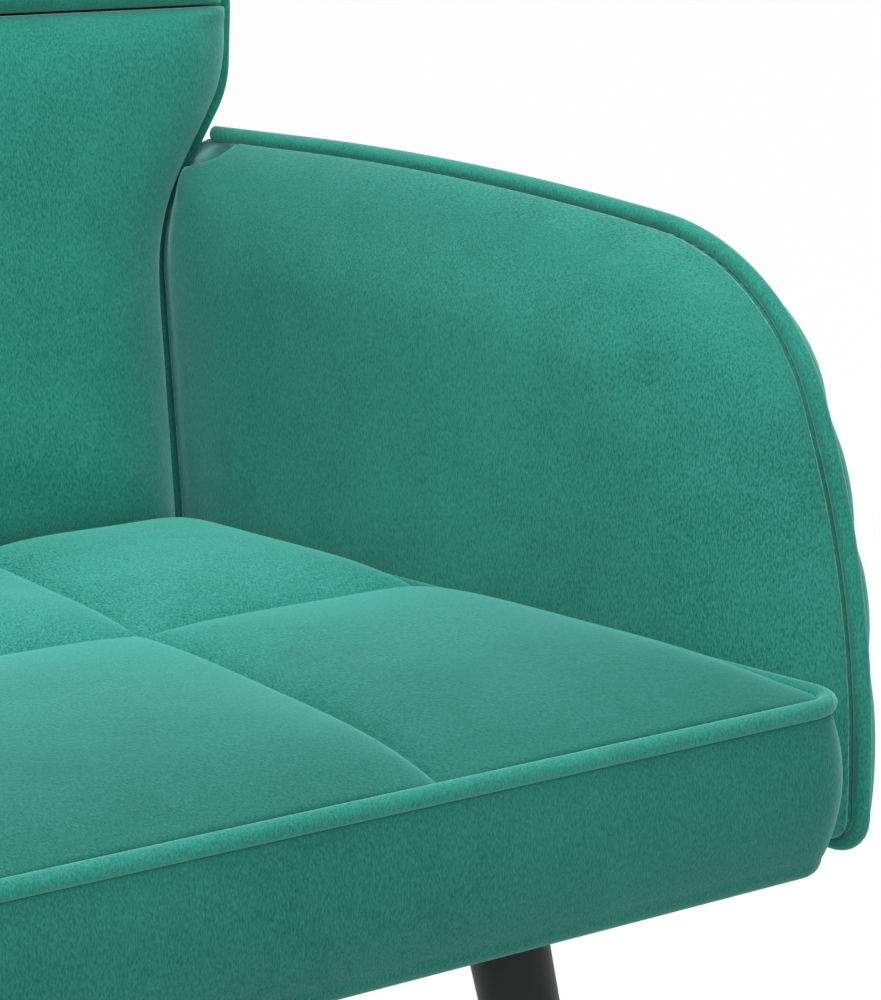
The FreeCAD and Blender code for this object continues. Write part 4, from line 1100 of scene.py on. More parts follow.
@dataclass
class QuiltedSeat:
    """Seat cushion: quilted top, piped edge and padded border."""

    shop: Workshop
    columns: int = 4
    cross_seam: float = 0.293
    cell_rise: float = 0.022
    seam_rise: float = 0.013
    crossing_rise: float = 0.009
    edge_rise: float = 0.002
    slack: float = 0.002
    plump: float = 0.004
    drop: float = 0.003
    inset: float = 0.0055
    across_steps: int = 26
    along_steps: int = 26
    seam_puff: float = 4.4
    front_puff: float = 3.4
    side_puff: float = 7.0
    crease: float = 0.0045
    crease_width: float = 0.0042

    @property
    def rear(self) -> float:
        """Y of the top's rear edge behind the front piping line."""
        return self.shop.sizes.seat_depth - self.shop.sizes.seat_back_gap

    def half_at(self, y: np.ndarray) -> np.ndarray:
        """Half width of the quilted top at a depth, with its round front corners."""
        sizes = self.shop.sizes
        half = sizes.side_x(y, -self.inset)
        radius = sizes.seat_corner - self.inset
        depth = np.clip(radius - (y - self.inset), 0, radius)
        return half - radius + np.sqrt(np.maximum(radius**2 - depth**2, 0))

    @staticmethod
    def stations(count: int) -> np.ndarray:
        """Shares from 0 to 1, closer together near both ends."""
        even = np.linspace(0, 1, count + 1)
        return 0.2 * even + 0.8 * (0.5 - 0.5 * np.cos(math.pi * even))

    @staticmethod
    def bulge(share: np.ndarray, first: float, last: float) -> np.ndarray:
        """Rounded rise from 0 at both ends to 1 in the middle; a higher power is steeper at its end."""
        return 1 - np.abs(2 * share - 1) ** np.where(share < 0.5, first, last)

    def rise(self, across: np.ndarray, along: np.ndarray, row: int, column: int) -> np.ndarray:
        """Height of a cell over the piping line.

        Args:
            across: Share of the cell's width.
            along: Share of the cell's depth.
            row: 0 for the front row.
            column: Column from the left.

        Returns:
            Heights for each pair of shares.
        """
        start = self.edge_rise if row == 0 else self.crossing_rise
        drawn = start + along * (self.crossing_rise - start)
        front = self.front_puff if row == 0 else self.seam_puff
        rear = self.seam_puff if row == 0 else self.side_puff
        swell = self.bulge(along, front, rear)
        seam = drawn + swell * (self.seam_rise - drawn)
        last = column == self.columns - 1
        left = np.full_like(seam, self.edge_rise) if column == 0 else seam
        right = np.full_like(seam, self.edge_rise) if last else seam
        low = left + across * (right - left)
        crown = drawn + self.slack + swell * (self.cell_rise - drawn - self.slack)
        puffs = (self.side_puff if column == 0 else self.seam_puff, self.side_puff if last else self.seam_puff)
        return low + self.bulge(across, *puffs) * np.maximum(crown - low, 0)

    def top_points(self) -> tuple[np.ndarray, np.ndarray]:
        """Grid of the quilted top.

        Returns:
            Points as (rows, columns, 3), and a mask of the sewn ones.
        """
        shares = self.stations(self.across_steps)
        depths = self.stations(self.along_steps)
        pitch = self.shop.sizes.seat_width / self.columns
        rows, masks = [], []
        for row, (start, end) in enumerate(((self.inset, self.cross_seam), (self.cross_seam, self.rear))):
            first = 0 if row == 0 else 1
            for along in depths[first:]:
                y = start + along * (end - start)
                half = float(self.half_at(np.array(y)))
                lines = [-half] + [pitch * (i + 1) - pitch * self.columns / 2 for i in range(self.columns - 1)] + [half]
                line, mask = [], []
                for column in range(self.columns):
                    begin = 0 if column == 0 else 1
                    across = shares[begin:]
                    x = lines[column] + across * (lines[column + 1] - lines[column])
                    z = self.rise(across, np.full_like(across, along), row, column)
                    line.append(np.column_stack([x, np.full_like(x, y), z]))
                    mask.append((across < 1e-6) | (across > 1 - 1e-6) | (along < 1e-6) | (along > 1 - 1e-6))
                rows.append(np.vstack(line))
                masks.append(np.concatenate(mask))
        return np.array(rows), np.array(masks)

    def build_top(self) -> None:
        """Quilted top as a closed cover, swollen between its sewn lines."""
        shop = self.shop
        grid, sewn = self.top_points()
        grid[:, :, 1] += shop.frames.front
        grid[:, :, 2] += shop.sizes.seat_height
        rows, columns = sewn.shape
        rim = list(range(columns)) + [r * columns + columns - 1 for r in range(1, rows)]
        rim += [(rows - 1) * columns + c for c in range(columns - 2, -1, -1)]
        rim += [r * columns for r in range(rows - 2, 0, -1)]
        top = grid.reshape(-1, 3)
        plan, floor = PadForm().flat_side(top[rim][:, :2])
        base = np.column_stack([plan, np.full(len(plan), shop.sizes.seat_height - self.drop)])
        faces: list[Sequence[int]] = []
        for r in range(rows - 1):
            for c in range(columns - 1):
                a = r * columns + c
                faces.append((a, a + 1, a + columns + 1, a + columns))
        count = len(top)
        for i, a in enumerate(rim):
            k = (i + 1) % len(rim)
            faces.append((a, count + i, count + k, rim[k]))
        faces += [tuple(count + i for i in reversed(face)) for face in floor]
        piece = mesh_piece("seat_top_cover", np.vstack([top, base]), faces)
        held = np.concatenate([sewn.ravel(), np.ones(len(base), bool)]).astype(float)
        Padding(travel=self.plump, settle=2).swell(piece, lambda points: held)
        refine(piece)
        self.press_seams(piece)
        # The seat top takes the copy of the velvet with painted light, shaded at the front and lit at the rear.
        shop.install(piece, "velvet", "seat_quilted_top", fill=0.9, finish="velvet_seat")

    def press_seams(self, piece: bpy.types.Object) -> None:
        """Draw the cloth down into a narrow crease along every sewn line."""
        sizes = self.shop.sizes
        points = positions(piece.data)
        local_y = points[:, 1] - self.shop.frames.front
        top = points[:, 2] > sizes.seat_height
        pitch = sizes.seat_width / self.columns
        nearest = np.full(len(points), 1.0)
        for i in range(1, self.columns):
            nearest = np.minimum(nearest, np.abs(points[:, 0] + sizes.half_seat - i * pitch))
        nearest = np.minimum(nearest, np.abs(local_y - self.cross_seam))
        points[:, 2] -= top * self.crease * np.exp(-nearest / self.crease_width)
        set_positions(piece.data, points)

    def edge_path(self, length: float, step: float) -> np.ndarray:
        """Piping line in plan: from the right side's end round the front to the left side's end."""
        sizes = self.shop.sizes
        radius = sizes.seat_corner
        corner = np.array([sizes.half_seat, 0.0])
        back = np.array([-math.sin(sizes.flare), math.cos(sizes.flare)])
        reach = radius * math.tan((math.pi / 2 + sizes.flare) / 2)
        entry = corner + back * reach
        centre = entry + radius * np.array([-math.cos(sizes.flare), -math.sin(sizes.flare)])
        first = math.atan2(entry[1] - centre[1], entry[0] - centre[0])
        last = -math.pi / 2
        arc = [centre + radius * np.array([math.cos(a), math.sin(a)]) for a in np.linspace(first, last, 24)]
        half = [corner + back * length] + arc
        mirror = [np.array([-x, y]) for x, y in reversed(half)]
        path = np.array(half + mirror)
        path = spread(path, round(path_length(path, False) / step), closed=False)
        path[:, 1] += self.shop.frames.front
        return path

    def build_piping(self) -> None:
        """Welt cord between the top and the border."""
        shop = self.shop
        length = self.rear / math.cos(shop.sizes.flare)
        plan = self.edge_path(length, 0.004)
        path = np.column_stack([plan, np.full(len(plan), shop.sizes.seat_height)])
        piece = shop.welt.run("seat_edge_piping", path, False, shop.sizes.piping_radius,
                              shop.finishes.by_slot["velvet_piping"])
        shop.install(piece, "velvet_piping", "seat_piping")

    def border_profile(self) -> np.ndarray:
        """Section of the border as (outwards, height): full in the middle, tucked in below."""
        sizes = self.shop.sizes
        low, high = sizes.underside, sizes.seat_height
        hem = low + sizes.border_thickness * 0.7
        rows = [(-sizes.border_thickness, high - self.drop), (-0.0045, high - self.drop)]
        top = high - sizes.piping_radius * 0.8
        for share in np.linspace(0, 1, 22):
            height = top + (hem - top) * share
            rows.append((sizes.border_bulge * math.sin(math.pi * min(1.0, 0.06 + share * 0.94)) ** 0.8 - 0.0008, height))
        for angle in np.linspace(0.1, math.pi / 2, 9):
            reach = sizes.border_thickness * 0.7
            rows.append((-reach * (1 - math.cos(angle)) - 0.0008, hem - reach * math.sin(angle)))
        rows.append((-sizes.border_thickness, low))
        return np.array(rows)

    def build_border(self) -> None:
        """Padded band round the seat's front and sides."""
        shop = self.shop
        plan = self.edge_path(shop.sizes.border_return, 0.005)
        ahead = np.gradient(plan, axis=0)
        ahead /= np.linalg.norm(ahead, axis=1, keepdims=True)
        outwards = np.column_stack([-ahead[:, 1], ahead[:, 0]])
        profile = self.border_profile()
        count = len(profile)
        points = []
        for spot, out in zip(plan, outwards):
            for reach, height in profile:
                points.append((spot[0] + out[0] * reach, spot[1] + out[1] * reach, height))
        faces: list[Sequence[int]] = []
        for i in range(len(plan) - 1):
            for j in range(count):
                k = (j + 1) % count
                faces.append((i * count + j, i * count + k, (i + 1) * count + k, (i + 1) * count + j))
        faces.append(tuple(range(count)))
        faces.append(tuple(range((len(plan) - 1) * count, len(plan) * count)))
        piece = mesh_piece("seat_border_cover", np.array(points), faces)
        # The border takes the darker copy of the velvet, which paints shade on it.
        shop.install(piece, "velvet", "seat_border", fill=1.0, finish="velvet_border")

    def build(self) -> None:
        """Whole seat cushion."""
        self.build_top()
        self.build_piping()
        self.build_border()


@dataclass
class WingedBack:
    """Back: two front pads above each other, piped edge and rear cover."""

    shop: Workshop
    height: float = 0.920
    bottom: float = 0.346
    seam_share: float = 0.3226
    foot: tuple[float, float] = (0.010, 0.010)
    waist: tuple[float, float, float] = (0.012, -0.052, 0.110)
    wing: tuple[float, float, float] = (0.069, 0.031, 0.060)
    shoulder: tuple[float, float] = (0.075, 0.150)
    crown: tuple[float, float] = (0.082, 0.095)
    pad_rear: float = 0.026
    pad_depth: float = 0.042
    roll: float = 0.050
    edge_roll: float = 0.007
    lip: float = 0.003
    groove: float = 0.014
    groove_width: float = 0.005
    cover_front: float = 0.0365
    wrap: float = 0.0008
    cover_rear: float = 0.0708
    cover_roll: float = 0.024

    def slope(self, height: float) -> float:
        """Distance up the slope of a height."""
        return (height - self.shop.sizes.seat_height) / math.cos(self.shop.sizes.recline)

    @property
    def seam(self) -> float:
        """Distance up the slope of the seam between the two pads."""
        low = self.shop.sizes.arm_height
        return self.slope(low + self.seam_share * (self.height - low))

    def contour(self) -> Contour:
        """Outline of the whole back."""
        sizes = self.shop.sizes
        base = float(sizes.side_x(sizes.seat_depth, 0))
        half = [
            (base + self.foot[0], self.slope(self.bottom), self.foot[1]),
            (base + self.waist[0], self.slope(sizes.arm_height + self.waist[1]), self.waist[2]),
            (base + self.wing[0], self.slope(sizes.arm_height + self.wing[1]), self.wing[2]),
            (base + self.shoulder[0], self.seam, self.shoulder[1]),
            (base + self.crown[0], self.slope(self.height), self.crown[1]),
        ]
        return Contour(half + [(-a, b, r) for a, b, r in reversed(half)])

    def half_width(self, height: np.ndarray) -> np.ndarray:
        """Half width of the back's outline at heights up its slope."""
        edge = self.contour().sample(0.004)
        right = edge[edge[:, 0] > 0.8 * self.shop.sizes.half_seat]
        right = right[np.argsort(right[:, 1])]
        return np.interp(height, right[:, 1], right[:, 0])

    def place(self, flat: np.ndarray, depth: np.ndarray) -> np.ndarray:
        """Points across and up the back, at their depths, in the sofa's frame."""
        return self.shop.frames.back(np.column_stack([flat[:, 0], depth, flat[:, 1]]))

    def pad_relief(self, flat: np.ndarray, ring: np.ndarray) -> np.ndarray:
        """Depth of a pad's face: rolled to its edge, and drawn in along the seam."""
        after = np.roll(ring, -1, axis=0)
        on_seam = (np.abs(ring[:, 1] - self.seam) < self.lip) & (np.abs(after[:, 1] - self.seam) < self.lip)
        share = np.clip(edge_distance(flat, ring, ~on_seam) / self.roll, 0, 1)
        tight = 0.45 * np.exp(-share * self.roll / self.edge_roll)
        rolled = self.pad_rear - self.lip - (self.pad_depth - self.lip) * (1 - tight - 0.55 * (1 - share) ** 2)
        face = self.pad_rear - self.pad_depth
        drawn = face + self.groove * np.exp(-np.abs(flat[:, 1] - self.seam) / self.groove_width)
        soft = self.lip
        return soft * np.logaddexp(rolled / soft, drawn / soft) - soft * math.log(2) * np.exp(
            -np.abs(rolled - drawn) / soft)

    def pad_edges(self, points: np.ndarray) -> np.ndarray:
        """Share of the pads' stapled rim and of what is drawn into the seam."""
        local = self.shop.frames.to_back(points)
        rim = smooth_step(local[:, 1], self.pad_rear - 0.014, self.pad_rear - 0.004)
        return np.maximum(rim, 1 - smooth_step(np.abs(local[:, 2] - self.seam), 0.004, 0.012))

    def build_pads(self) -> None:
        """Lower and upper front pads, on the outline of their solids."""
        for node in ("back_lower_pad", "back_upper_pad"):
            outline = section(self.shop.nodes[node], self.shop.frames.to_back, 1, self.pad_rear - 0.0005)
            piece = PadForm(step=0.010).build(node + "_cover", outline, self.pad_relief, self.pad_rear, self.place)
            Padding(travel=0.004).swell(piece, self.pad_edges)
            refine(piece)
            # The pads take the copy of the velvet whose tone is raised as painted light.
            self.shop.install(piece, "velvet", node, fill=0.9, finish="velvet_back")

    def build_piping(self) -> None:
        """Welt cord round the back."""
        shop = self.shop
        flat = self.contour().sample(0.004)
        depth = shop.sizes.back_frame_front + shop.sizes.piping_radius
        path = shop.frames.back(np.column_stack([flat[:, 0], np.full(len(flat), depth), flat[:, 1]]))
        piece = shop.welt.run("back_edge_piping", path, True, shop.sizes.piping_radius,
                              shop.finishes.by_slot["velvet_piping"])
        shop.install(piece, "velvet_piping", "back_piping")

    def cover_relief(self, flat: np.ndarray, ring: np.ndarray) -> np.ndarray:
        """Depth of the rear cover's outer face, rolled over the frame's edge."""
        share = np.clip(edge_distance(flat, ring) / self.cover_roll, 0, 1)
        edge = (self.cover_front + self.cover_rear) / 2
        return edge + (self.cover_rear - edge) * (1 - (1 - share) ** 3)

    def build_rear(self) -> None:
        """Padded rear cover, folded round the frame's edge."""
        outline = self.contour().inset(0.001).sample(0.004)
        form = PadForm(step=0.009)
        piece = form.build("back_rear_panel", outline, self.cover_relief, self.cover_front, self.place)
        piece.data.set_sharp_from_angle(angle=math.radians(50))
        # The rear cover takes the copy of the velvet whose tone is raised as painted light.
        self.shop.install(piece, "velvet", "back_rear_cover", fill=1.0, finish="velvet_back")

    def build_wraps(self) -> None:
        """Velvet drawn over the frame's edge, seen between the pads, the piping and the rear cover."""
        for node in ("back_stile_left", "back_stile_right", "back_middle_rail", "back_top_rail"):
            piece = grown(self.shop.nodes[node], node + "_wrap", self.wrap)
            # The wraps take the copy of the velvet whose tone is raised as painted light.
            self.shop.install(piece, "velvet", fill=1.0, finish="velvet_back")

    def build(self) -> None:
        """Whole back."""
        self.build_wraps()
        self.build_pads()
        self.build_piping()
        self.build_rear()


@dataclass
class PaddedArm:
    """Arms: crowned inner pad, piped edge and channelled outer cover, right and then mirrored."""

    shop: Workshop
    back: WingedBack
    front: float = 0.0324
    front_radius: float = 0.544
    front_turn: float = math.radians(21.5)
    shoulder_radius: float = 0.135
    shoulder_turn: float = math.radians(61.4)
    top_radius: float = 2.365
    toe_radius: float = 0.016
    pad_proud: float = 0.016
    cover_depth: float = 0.018
    wrap: float = 0.0008
    strip_skin: float = 0.0018
    strip_fold: float = 0.0022
    pad_depth: float = 0.042
    roll: float = 0.006
    dome: float = 0.070
    lip: float = 0.003
    outer_roll: float = 0.003
    tuck: float = 0.12
    contact: float = 0.0015
    press_depths: tuple[float, float] = (-0.006, 0.018)
    free_reach: float = 0.006
    piping_reach: float = 0.012
    channel_first: float = 0.046
    channel_pitch: float = 0.065
    channel_seams: int = 4
    channel_depth: float = 0.009

    def rear_v(self, height: float, depth: float) -> float:
        """Where a plane at a depth in the back crosses the arm's board."""
        sizes = self.shop.sizes
        sin, cos = math.sin(sizes.recline), math.cos(sizes.recline)
        s = (height - sizes.seat_height + depth * sin) / cos
        y = sizes.seat_depth + depth * cos + s * sin
        middle = (sizes.arm_board_inner + sizes.arm_board_outer) / 2
        return (y - middle * math.sin(sizes.flare)) / math.cos(sizes.flare)

    def contour(self) -> Contour:
        """Arm from the side."""
        sizes = self.shop.sizes
        top_turn = math.pi / 2 - self.front_turn - self.shoulder_turn
        shoulder = self.shoulder_radius * math.tan(self.shoulder_turn / 2)
        steep = self.front_radius * math.tan(self.front_turn / 2) + shoulder
        gentle = shoulder + self.top_radius * math.tan(top_turn / 2)
        shoulder_v = self.front + steep * math.sin(self.front_turn)
        shoulder_w = sizes.arm_height - gentle * math.sin(top_turn)
        depth = sizes.back_frame_rear
        return Contour([
            (self.front, sizes.arm_bottom, self.toe_radius),
            (self.rear_v(sizes.arm_bottom, depth), sizes.arm_bottom, self.toe_radius),
            (self.rear_v(sizes.arm_height, depth), sizes.arm_height, self.toe_radius),
            (shoulder_v + gentle * math.cos(top_turn), sizes.arm_height, self.top_radius),
            (shoulder_v, shoulder_w, self.shoulder_radius),
            (self.front, shoulder_w - steep * math.cos(self.front_turn), self.front_radius),
        ])

    def in_back(self, points: np.ndarray) -> np.ndarray:
        """Mask of the points inside the space of the back."""
        local = self.shop.frames.to_back(points)
        edge = self.back.contour().inset(-self.shop.sizes.arm_back_gap).sample(0.004)
        rear = self.shop.sizes.back_frame_rear + self.cover_depth
        level = (local[:, 1] > self.piping_reach) & (local[:, 1] < rear)
        return inside(local[:, [0, 2]], edge) & level

    def board_edges(self, points: np.ndarray) -> np.ndarray:
        """Share of the edges that are stapled to the board."""
        sizes = self.shop.sizes
        outwards = self.shop.frames.to_arm(points)[:, 0]
        inner = smooth_step(outwards, sizes.arm_board_inner - 0.014, sizes.arm_board_inner - 0.004)
        outer = 1 - smooth_step(outwards, sizes.arm_board_outer + 0.002, sizes.arm_board_outer + 0.007)
        beside_back = smooth_step(self.shop.frames.to_back(points)[:, 1], -0.004, 0.006)
        return np.maximum(np.minimum(inner, outer), beside_back)

    def install_pair(self, piece: bpy.types.Object, node: str | None, fill: float) -> None:
        """Install a right-hand velvet piece and its twin.

        Args:
            piece: Right-hand piece.
            node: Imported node, without its side, that the pair stands for.
            fill: How tight the padding is.
        """
        twin = mirrored(piece, piece.name.replace(Side.RIGHT.word, Side.LEFT.word))
        for side, cover in ((Side.RIGHT, piece), (Side.LEFT, twin)):
            nodes = [f"{node}_{side.word}"] if node else []
            self.shop.install(cover, "velvet", *nodes, fill=fill)

    def place(self, flat: np.ndarray, depth: np.ndarray) -> np.ndarray:
        """Points along and up the arm, at their depths, in the sofa's frame."""
        return self.shop.frames.arm(np.column_stack([depth, flat]))

    def inner_relief(self, flat: np.ndarray, ring: np.ndarray) -> np.ndarray:
        """Depth of the inner pad's face: rolled at the piping, domed, and pressed aside by the back."""
        sizes = self.shop.sizes
        free = edge_distance(ring, self.contour().sample(self.roll)) < self.free_reach
        distance = edge_distance(flat, ring, free)
        dome = (1 - np.clip(distance / self.dome, 0, 1)) ** 2
        tuck = self.tuck * np.exp(-edge_distance(flat, ring, ~free) / self.roll)
        share = (1 - 0.5 * np.exp(-distance / self.roll) - 0.5 * dome) * (1 - tuck)
        outwards = sizes.arm_board_inner - self.lip - (self.pad_depth - self.lip) * share
        spots = self.place(flat, outwards)
        local = self.shop.frames.to_back(spots)
        beside = self.back.half_width(local[:, 2]) - self.contact - spots[:, 0]
        pressed = smooth_step(local[:, 1], *self.press_depths) * np.maximum(beside, 0)
        return np.minimum(outwards + pressed / math.cos(sizes.flare), sizes.arm_board_inner - self.lip)

    def seams(self) -> np.ndarray:
        """Heights of the outer cover's sewn lines, from its lower edge to above its top."""
        first = self.shop.sizes.arm_height - self.channel_first
        lines = [first + self.channel_pitch - i * self.channel_pitch for i in range(self.channel_seams + 1)]
        return np.array([self.shop.sizes.arm_bottom] + lines[::-1])

    def outer_relief(self, flat: np.ndarray, ring: np.ndarray) -> np.ndarray:
        """Depth of the outer cover's face: round channels between sewn lines."""
        sizes = self.shop.sizes
        lines = self.seams()
        i = np.clip(np.searchsorted(lines, flat[:, 1]) - 1, 0, len(lines) - 2)
        share = (flat[:, 1] - lines[i]) / (lines[i + 1] - lines[i])
        round_channel = 1 - np.abs(2 * share - 1) ** 2.4
        channel = sizes.arm_cover_outer - self.channel_depth * (1 - round_channel)
        edge = 1 - np.exp(-edge_distance(flat, ring) / self.outer_roll)
        rolled = sizes.arm_board_outer + self.lip + (channel - sizes.arm_board_outer - self.lip) * edge
        return np.minimum(rolled, channel)

    def sewn_lines(self) -> np.ndarray:
        """Points along the outer cover's sewn lines."""
        along = np.arange(self.front, self.shop.sizes.seat_depth * 1.3, 0.004)
        lines = [(v, w + side) for w in self.seams()[1:-1] for side in (-0.0025, 0.0, 0.0025) for v in along]
        return np.array(lines)

    def build_pads(self) -> None:
        """Inner pad and outer cover on both sides, on the outlines of their solids."""
        sizes = self.shop.sizes
        near = 0.0005
        outline = section(self.shop.nodes["arm_inner_pad_right"], self.shop.frames.to_arm, 0,
                          sizes.arm_board_inner - near)
        inner = PadForm().build("arm_inner_cover_right", outline, self.inner_relief, sizes.arm_board_inner, self.place)
        Padding(travel=0.005).swell(inner, self.board_edges)
        refine(inner)
        self.install_pair(inner, "arm_inner_pad", 0.9)
        outline = section(self.shop.nodes["arm_outer_pad_right"], self.shop.frames.to_arm, 0,
                          sizes.arm_board_outer + near)
        outer = PadForm().build("arm_outer_cover_right", outline, self.outer_relief, sizes.arm_board_outer,
                                self.place, self.sewn_lines())
        refine(outer)
        self.install_pair(outer, "arm_outer_pad", 1.0)

    def build_rear_strips(self) -> None:
        """Velvet strip that closes the rear of each arm, folded round at its edges."""
        piece = grown(self.shop.nodes["arm_rear_cover_right"], "arm_rear_strip_right", self.strip_skin)
        fold = piece.modifiers.new("fold", "BEVEL")
        fold.width = self.strip_fold
        fold.segments = 3
        fold.limit_method = "ANGLE"
        fold.angle_limit = math.radians(40)
        bake(piece)
        self.install_pair(piece, "arm_rear_cover", 1.0)

    def build_wraps(self) -> None:
        """Velvet drawn over the board's edge and the block behind the pad, seen in the gaps beside them."""
        for node in ("arm_board", "arm_rear_block"):
            piece = grown(self.shop.nodes[node + "_right"], node + "_wrap_right", self.wrap)
            self.install_pair(piece, None, 1.0)

    def build_piping(self) -> None:
        """Welt cord round each arm, open where the back's wing sits."""
        shop = self.shop
        flat = self.contour().sample(0.004)
        middle = (shop.sizes.arm_board_inner + shop.sizes.arm_board_outer) / 2
        path = shop.frames.arm(np.column_stack([np.full(len(flat), middle), flat]))
        buried = self.in_back(path)
        closed = not buried.any()
        if not closed:
            start = int(np.flatnonzero(buried & ~np.roll(buried, -1))[0]) + 1
            path = np.roll(path, -start, axis=0)[~np.roll(buried, -start)]
        piece = shop.welt.run("arm_edge_piping_right", path, closed, shop.sizes.piping_radius,
                              shop.finishes.by_slot["velvet_piping"])
        twin = mirrored(piece, "arm_edge_piping_left")
        shop.install(piece, "velvet_piping", "arm_piping_right")
        shop.install(twin, "velvet_piping", "arm_piping_left")

    def build(self) -> None:
        """Both arms."""
        self.build_pads()
        self.build_rear_strips()
        self.build_wraps()
        self.build_piping()


@dataclass
class Underside:
    """Thin cloths stapled under the seat's frame and the arms' rails."""

    shop: Workshop
    sag: float = 0.0015
    slack: float = 0.030
    step: float = 0.012
    thickness: float = 0.0006

    def cloth(self, node: str, *rests_on: str) -> None:
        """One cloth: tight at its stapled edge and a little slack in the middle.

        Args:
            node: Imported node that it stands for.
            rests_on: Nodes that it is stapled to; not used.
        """
        low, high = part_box(node)
        outline = section(self.shop.nodes[node], lambda points: points, 2, (low.z + high.z) / 2)
        ring = spread(outline, round(path_length(outline, True) / self.step), closed=True)
        form = PadForm(step=self.step, coarser=1.0)
        points, faces = form.flat_side(ring)
        level = low.z - self.sag * (1 - np.exp(-edge_distance(points, ring) / self.slack))
        lower = np.column_stack([points, level])
        upper = np.column_stack([points, level + self.thickness])
        count, edge = len(points), len(ring)
        walls = [((i + 1) % edge, i, count + i, count + (i + 1) % edge) for i in range(edge)]
        above = [tuple(count + i for i in face) for face in faces]
        piece = mesh_piece(node + "_cloth", np.vstack([lower, upper]), faces + above + walls)
        self.shop.install(piece, "dust_cover", node)

    @staticmethod
    def span(ring: np.ndarray, turn: float) -> tuple[float, float]:
        """Width and length of an outline, measured at a turn in plan."""
        cos, sin = math.cos(turn), math.sin(turn)
        across, along = np.ptp(ring @ np.array([[cos, -sin], [sin, cos]]), axis=0)
        return float(across), float(along)

    def build(self) -> None:
        """All three cloths."""
        self.cloth("dust_cover", "seat_front_rail", "seat_rear_rail")
        for side in Side:
            self.cloth(f"arm_dust_strip_{side.word}", f"arm_bottom_rail_{side.word}")


@dataclass
class SplayedLegs:
    """Round tapered steel legs on square plates."""

    shop: Workshop
    top_radius: float = 0.022
    foot_radius: float = 0.014
    wall: float = 0.0015
    splay: float = 0.14
    side_inset: float = 0.154
    front_inset: float = 0.070
    rear_inset: float = 0.060
    plate: float = 0.076
    plate_thickness: float = 0.003
    plate_corner: float = 0.008
    glide_height: float = 0.006
    sides: int = 64

    def sites(self) -> list[tuple[str, int, int, float, float]]:
        """Name, side, end and plan position of each leg's top."""
        sizes = self.shop.sizes
        rows = []
        for word, end, y in (("front", -1, self.front_inset), ("rear", 1, sizes.seat_depth - self.rear_inset)):
            for side in Side:
                x = side.value * float(sizes.side_x(y, -self.side_inset))
                rows.append((f"leg_{word}_{side.word}", side.value, end, x, y + self.shop.frames.front))
        return rows

    def tube(self, side: int, end: int, x: float, y: float) -> tuple[np.ndarray, list[tuple[int, ...]]]:
        """Skin, foot rim and bore of a leg as one closed band."""
        top = self.shop.sizes.underside
        spans = [(top, 0.0), (self.glide_height + 0.0006, 0.0), (self.glide_height, 0.0006),
                 (self.glide_height, self.wall), (top, self.wall)]
        points = []
        for height, inwards in spans:
            share = (height - self.glide_height) / (top - self.glide_height)
            radius = self.foot_radius + share * (self.top_radius - self.foot_radius) - inwards
            drop = top - height
            for i in range(self.sides):
                angle = 2 * math.pi * i / self.sides
                points.append((x + side * self.splay * drop + radius * math.cos(angle),
                               y + end * self.splay * drop + radius * math.sin(angle), height))
        faces = []
        for ring in range(len(spans)):
            after = (ring + 1) % len(spans)
            for i in range(self.sides):
                k = (i + 1) % self.sides
                faces.append((ring * self.sides + i, ring * self.sides + k, after * self.sides + k, after * self.sides + i))
        return np.array(points), faces

    def build(self) -> None:
        """All four legs with their plates."""
        for name, side, end, x, y in self.sites():
            points, faces = self.tube(side, end, x, y)
            leg = mesh_piece(name + "_tube", points, faces)
            half = self.plate / 2
            low = self.shop.sizes.underside
            flat = Contour([(x - half, y - half, self.plate_corner), (x + half, y - half, self.plate_corner),
                            (x + half, y + half, self.plate_corner), (x - half, y + half, self.plate_corner)])
            levels = [(low + 0.0006, 0.0), (low, 0.0006)]
            rings = [flat.sample(0.003)]
            count = len(rings[0])
            plate_points = [(a, b, low + self.plate_thickness) for a, b in rings[0]]
            for height, inset in levels:
                plate_points += [(a, b, height) for a, b in flat.inset(inset).ring(count)]
            plate_faces: list[Sequence[int]] = [tuple(range(count))]
            for ring in range(len(levels)):
                for i in range(count):
                    k = (i + 1) % count
                    plate_faces.append((ring * count + i, ring * count + k, (ring + 1) * count + k, (ring + 1) * count + i))
            plate_faces.append(tuple(range(len(levels) * count, (len(levels) + 1) * count)))
            plate = mesh_piece(name + "_plate", np.array(plate_points), plate_faces)
            for piece in (leg, plate):
                piece.data.set_sharp_from_angle(angle=math.radians(40))
            self.shop.install(leg, "black_steel", name)
            self.shop.install(plate, "black_steel")


